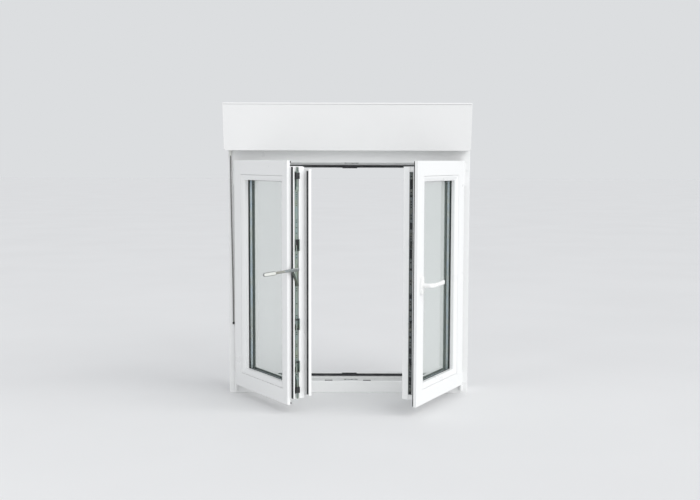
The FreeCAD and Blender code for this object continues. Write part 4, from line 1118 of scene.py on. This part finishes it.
class CASEMENT_OT_sealant(bpy.types.Operator):
    """Lay the black sealant lines between spacer and panes"""
    bl_idname = "casement.sealant"
    bl_label = "Pane sealant"

    def execute(self, context):
        def lines(bm, side):
            (x0, x3), z = leaf_ring(side, SEALANT_OUT)
            (x1, x2), (z1, z2) = leaf_ring(side, SEALANT_IN)
            for y in SEALANT_Y:
                for x in ((x0, x1), (x2, x3)):
                    join_box(bm, x, y, z, 0.3)
                for level in ((z[0], z1), (z2, z[1])):
                    join_box(bm, (x1, x2), y, level, 0.3)

        on_leaves("pane_sealant", "butyl_and_painted_shade", lines)
        return {"FINISHED"}


class CASEMENT_OT_drains(bpy.types.Operator):
    """Set dark blocks in and just over the drain slots of the sill, as painted shade in the slots
    """
    bl_idname = "casement.drains"
    bl_label = "Drain slot shades"

    def execute(self, context):
        bm = bmesh.new()
        # Painted shade: a dark block down in each slot and a dark strip just proud of the sill.
        for x in (-84, 77):
            join_box(bm, (x - 14.3, x + 14.3), (-35.3, -30.7), (46.2, 50.1))
            join_box(bm, (x - 16, x + 16), (-36.6, -29.4), (50.05, 51.9), 0.5)
        finished("drain_slot_shades", bm, "butyl_and_painted_shade", "frame")
        return {"FINISHED"}


# ---------------------------------------------------------------- stage and panel
SKY_COLOUR, SKY_STRENGTH, WALL_COLOUR = (0.95, 0.97, 1.0, 1), 0.63, (0.716, 0.73, 0.745, 1)
FLOOR_RADIUS, FLOOR_DROP = 60, 0.0005
SUN_POWER, SUN_SPREAD, SUN_PLACE = 1.62, 60, (3.0, -2.2, 2.1)
# Lamps: name, place, target, width, power.
LAMPS = (
    ("front", (1.2, -7.5, 3.4), (0, 0, 0.35), 3.2, 55),
    ("fill", (-5.5, -5.5, 3.2), (0, 0, 0.3), 3.2, 60),
)


class CASEMENT_OT_stage(bpy.types.Operator):
    """Lay a plain pale floor and soft studio light"""
    bl_idname = "casement.stage"
    bl_label = "Stage"

    def execute(self, context):
        bm = bmesh.new()
        bmesh.ops.create_circle(bm, cap_ends=True, segments=96, radius=FLOOR_RADIUS)
        mesh = bpy.data.meshes.new("studio_floor")
        bm.to_mesh(mesh)
        bm.free()
        mesh.transform(Matrix.Translation((0, 0, -FLOOR_DROP)))
        material, tree = new_material("studio_paper", Roughness=0.95, Specular_IOR_Level=0.1)
        cloud = spread(tree, noise(tree, object_space(tree), 1.2, 2.0), 0, 1)
        wired(material, Base_Color=blended(tree, cloud, (0.83,) * 3, (0.85,) * 3))
        mesh.materials.append(material)
        floor = bpy.data.objects.new("studio_floor", mesh)
        context.scene.collection.objects.link(floor)
        world = bpy.data.worlds.new("studio")
        world.use_nodes = True
        tree = world.node_tree
        light = tree.nodes["Background"]
        light.inputs["Color"].default_value = SKY_COLOUR
        light.inputs["Strength"].default_value = SKY_STRENGTH
        wall = node(tree, "ShaderNodeBackground", Color=WALL_COLOUR)
        rays = tree.nodes.new("ShaderNodeLightPath")
        choice = tree.nodes.new("ShaderNodeMixShader")
        tree.links.new(rays.outputs["Is Camera Ray"], choice.inputs[0])
        tree.links.new(light.outputs[0], choice.inputs[1])
        tree.links.new(wall.outputs[0], choice.inputs[2])
        tree.links.new(choice.outputs[0], tree.nodes["World Output"].inputs["Surface"])
        context.scene.world = world

        def aimed(lamp, place, target):
            lamp.location = place
            way = Vector(target) - Vector(place)
            lamp.rotation_euler = way.to_track_quat("-Z", "Y").to_euler()
            context.scene.collection.objects.link(lamp)

        sun = bpy.data.lights.new("soft_key", "SUN")
        sun.energy, sun.angle = SUN_POWER, math.radians(SUN_SPREAD)
        aimed(bpy.data.objects.new("soft_key", sun), SUN_PLACE, (0, 0, 0))
        for name, place, target, width, power in LAMPS:
            data = bpy.data.lights.new(name, "AREA")
            data.shape = "SQUARE"
            data.size = width
            data.energy = power
            aimed(bpy.data.objects.new(name, data), place, target)
        context.scene.view_settings.view_transform = "Standard"
        return {"FINISHED"}


ORDER = (
    "camera", "finishes", "lead", "welds", "gaskets", "hinge_covers", "screws", "handle",
    "bolt_lever", "edge_hardware", "box_trim", "curtain", "brushes", "spacer_holes", "sealant",
    "drains", "stage",
)


class CASEMENT_PT_panel(bpy.types.Panel):
    """Lists the window's makers and settings"""
    bl_idname = "CASEMENT_PT_panel"
    bl_label = "Casement window"
    bl_space_type = "VIEW_3D"
    bl_region_type = "UI"
    bl_category = "Window"

    def draw(self, context):
        for key in WindowSettings.__annotations__:
            self.layout.prop(context.scene.window_settings, key)
        for name in ORDER:
            self.layout.operator(f"casement.{name}")


CLASSES = (
    WindowSettings, CASEMENT_OT_camera, CASEMENT_OT_lead, CASEMENT_OT_finishes,
    CASEMENT_OT_welds, CASEMENT_OT_gaskets, CASEMENT_OT_hinge_covers, CASEMENT_OT_screws,
    CASEMENT_OT_handle, CASEMENT_OT_bolt_lever, CASEMENT_OT_edge_hardware,
    CASEMENT_OT_box_trim, CASEMENT_OT_curtain, CASEMENT_OT_brushes,
    CASEMENT_OT_spacer_holes, CASEMENT_OT_sealant, CASEMENT_OT_drains, CASEMENT_OT_stage,
    CASEMENT_PT_panel,
)


def register():
    for item in CLASSES:
        bpy.utils.register_class(item)
    bpy.types.Scene.window_settings = bpy.props.PointerProperty(type=WindowSettings)


def unregister():
    del bpy.types.Scene.window_settings
    for item in reversed(CLASSES):
        bpy.utils.unregister_class(item)


def main():
    register()
    for name in ORDER:
        getattr(bpy.ops.casement, name)()


if __name__ == "__main__":
    main()
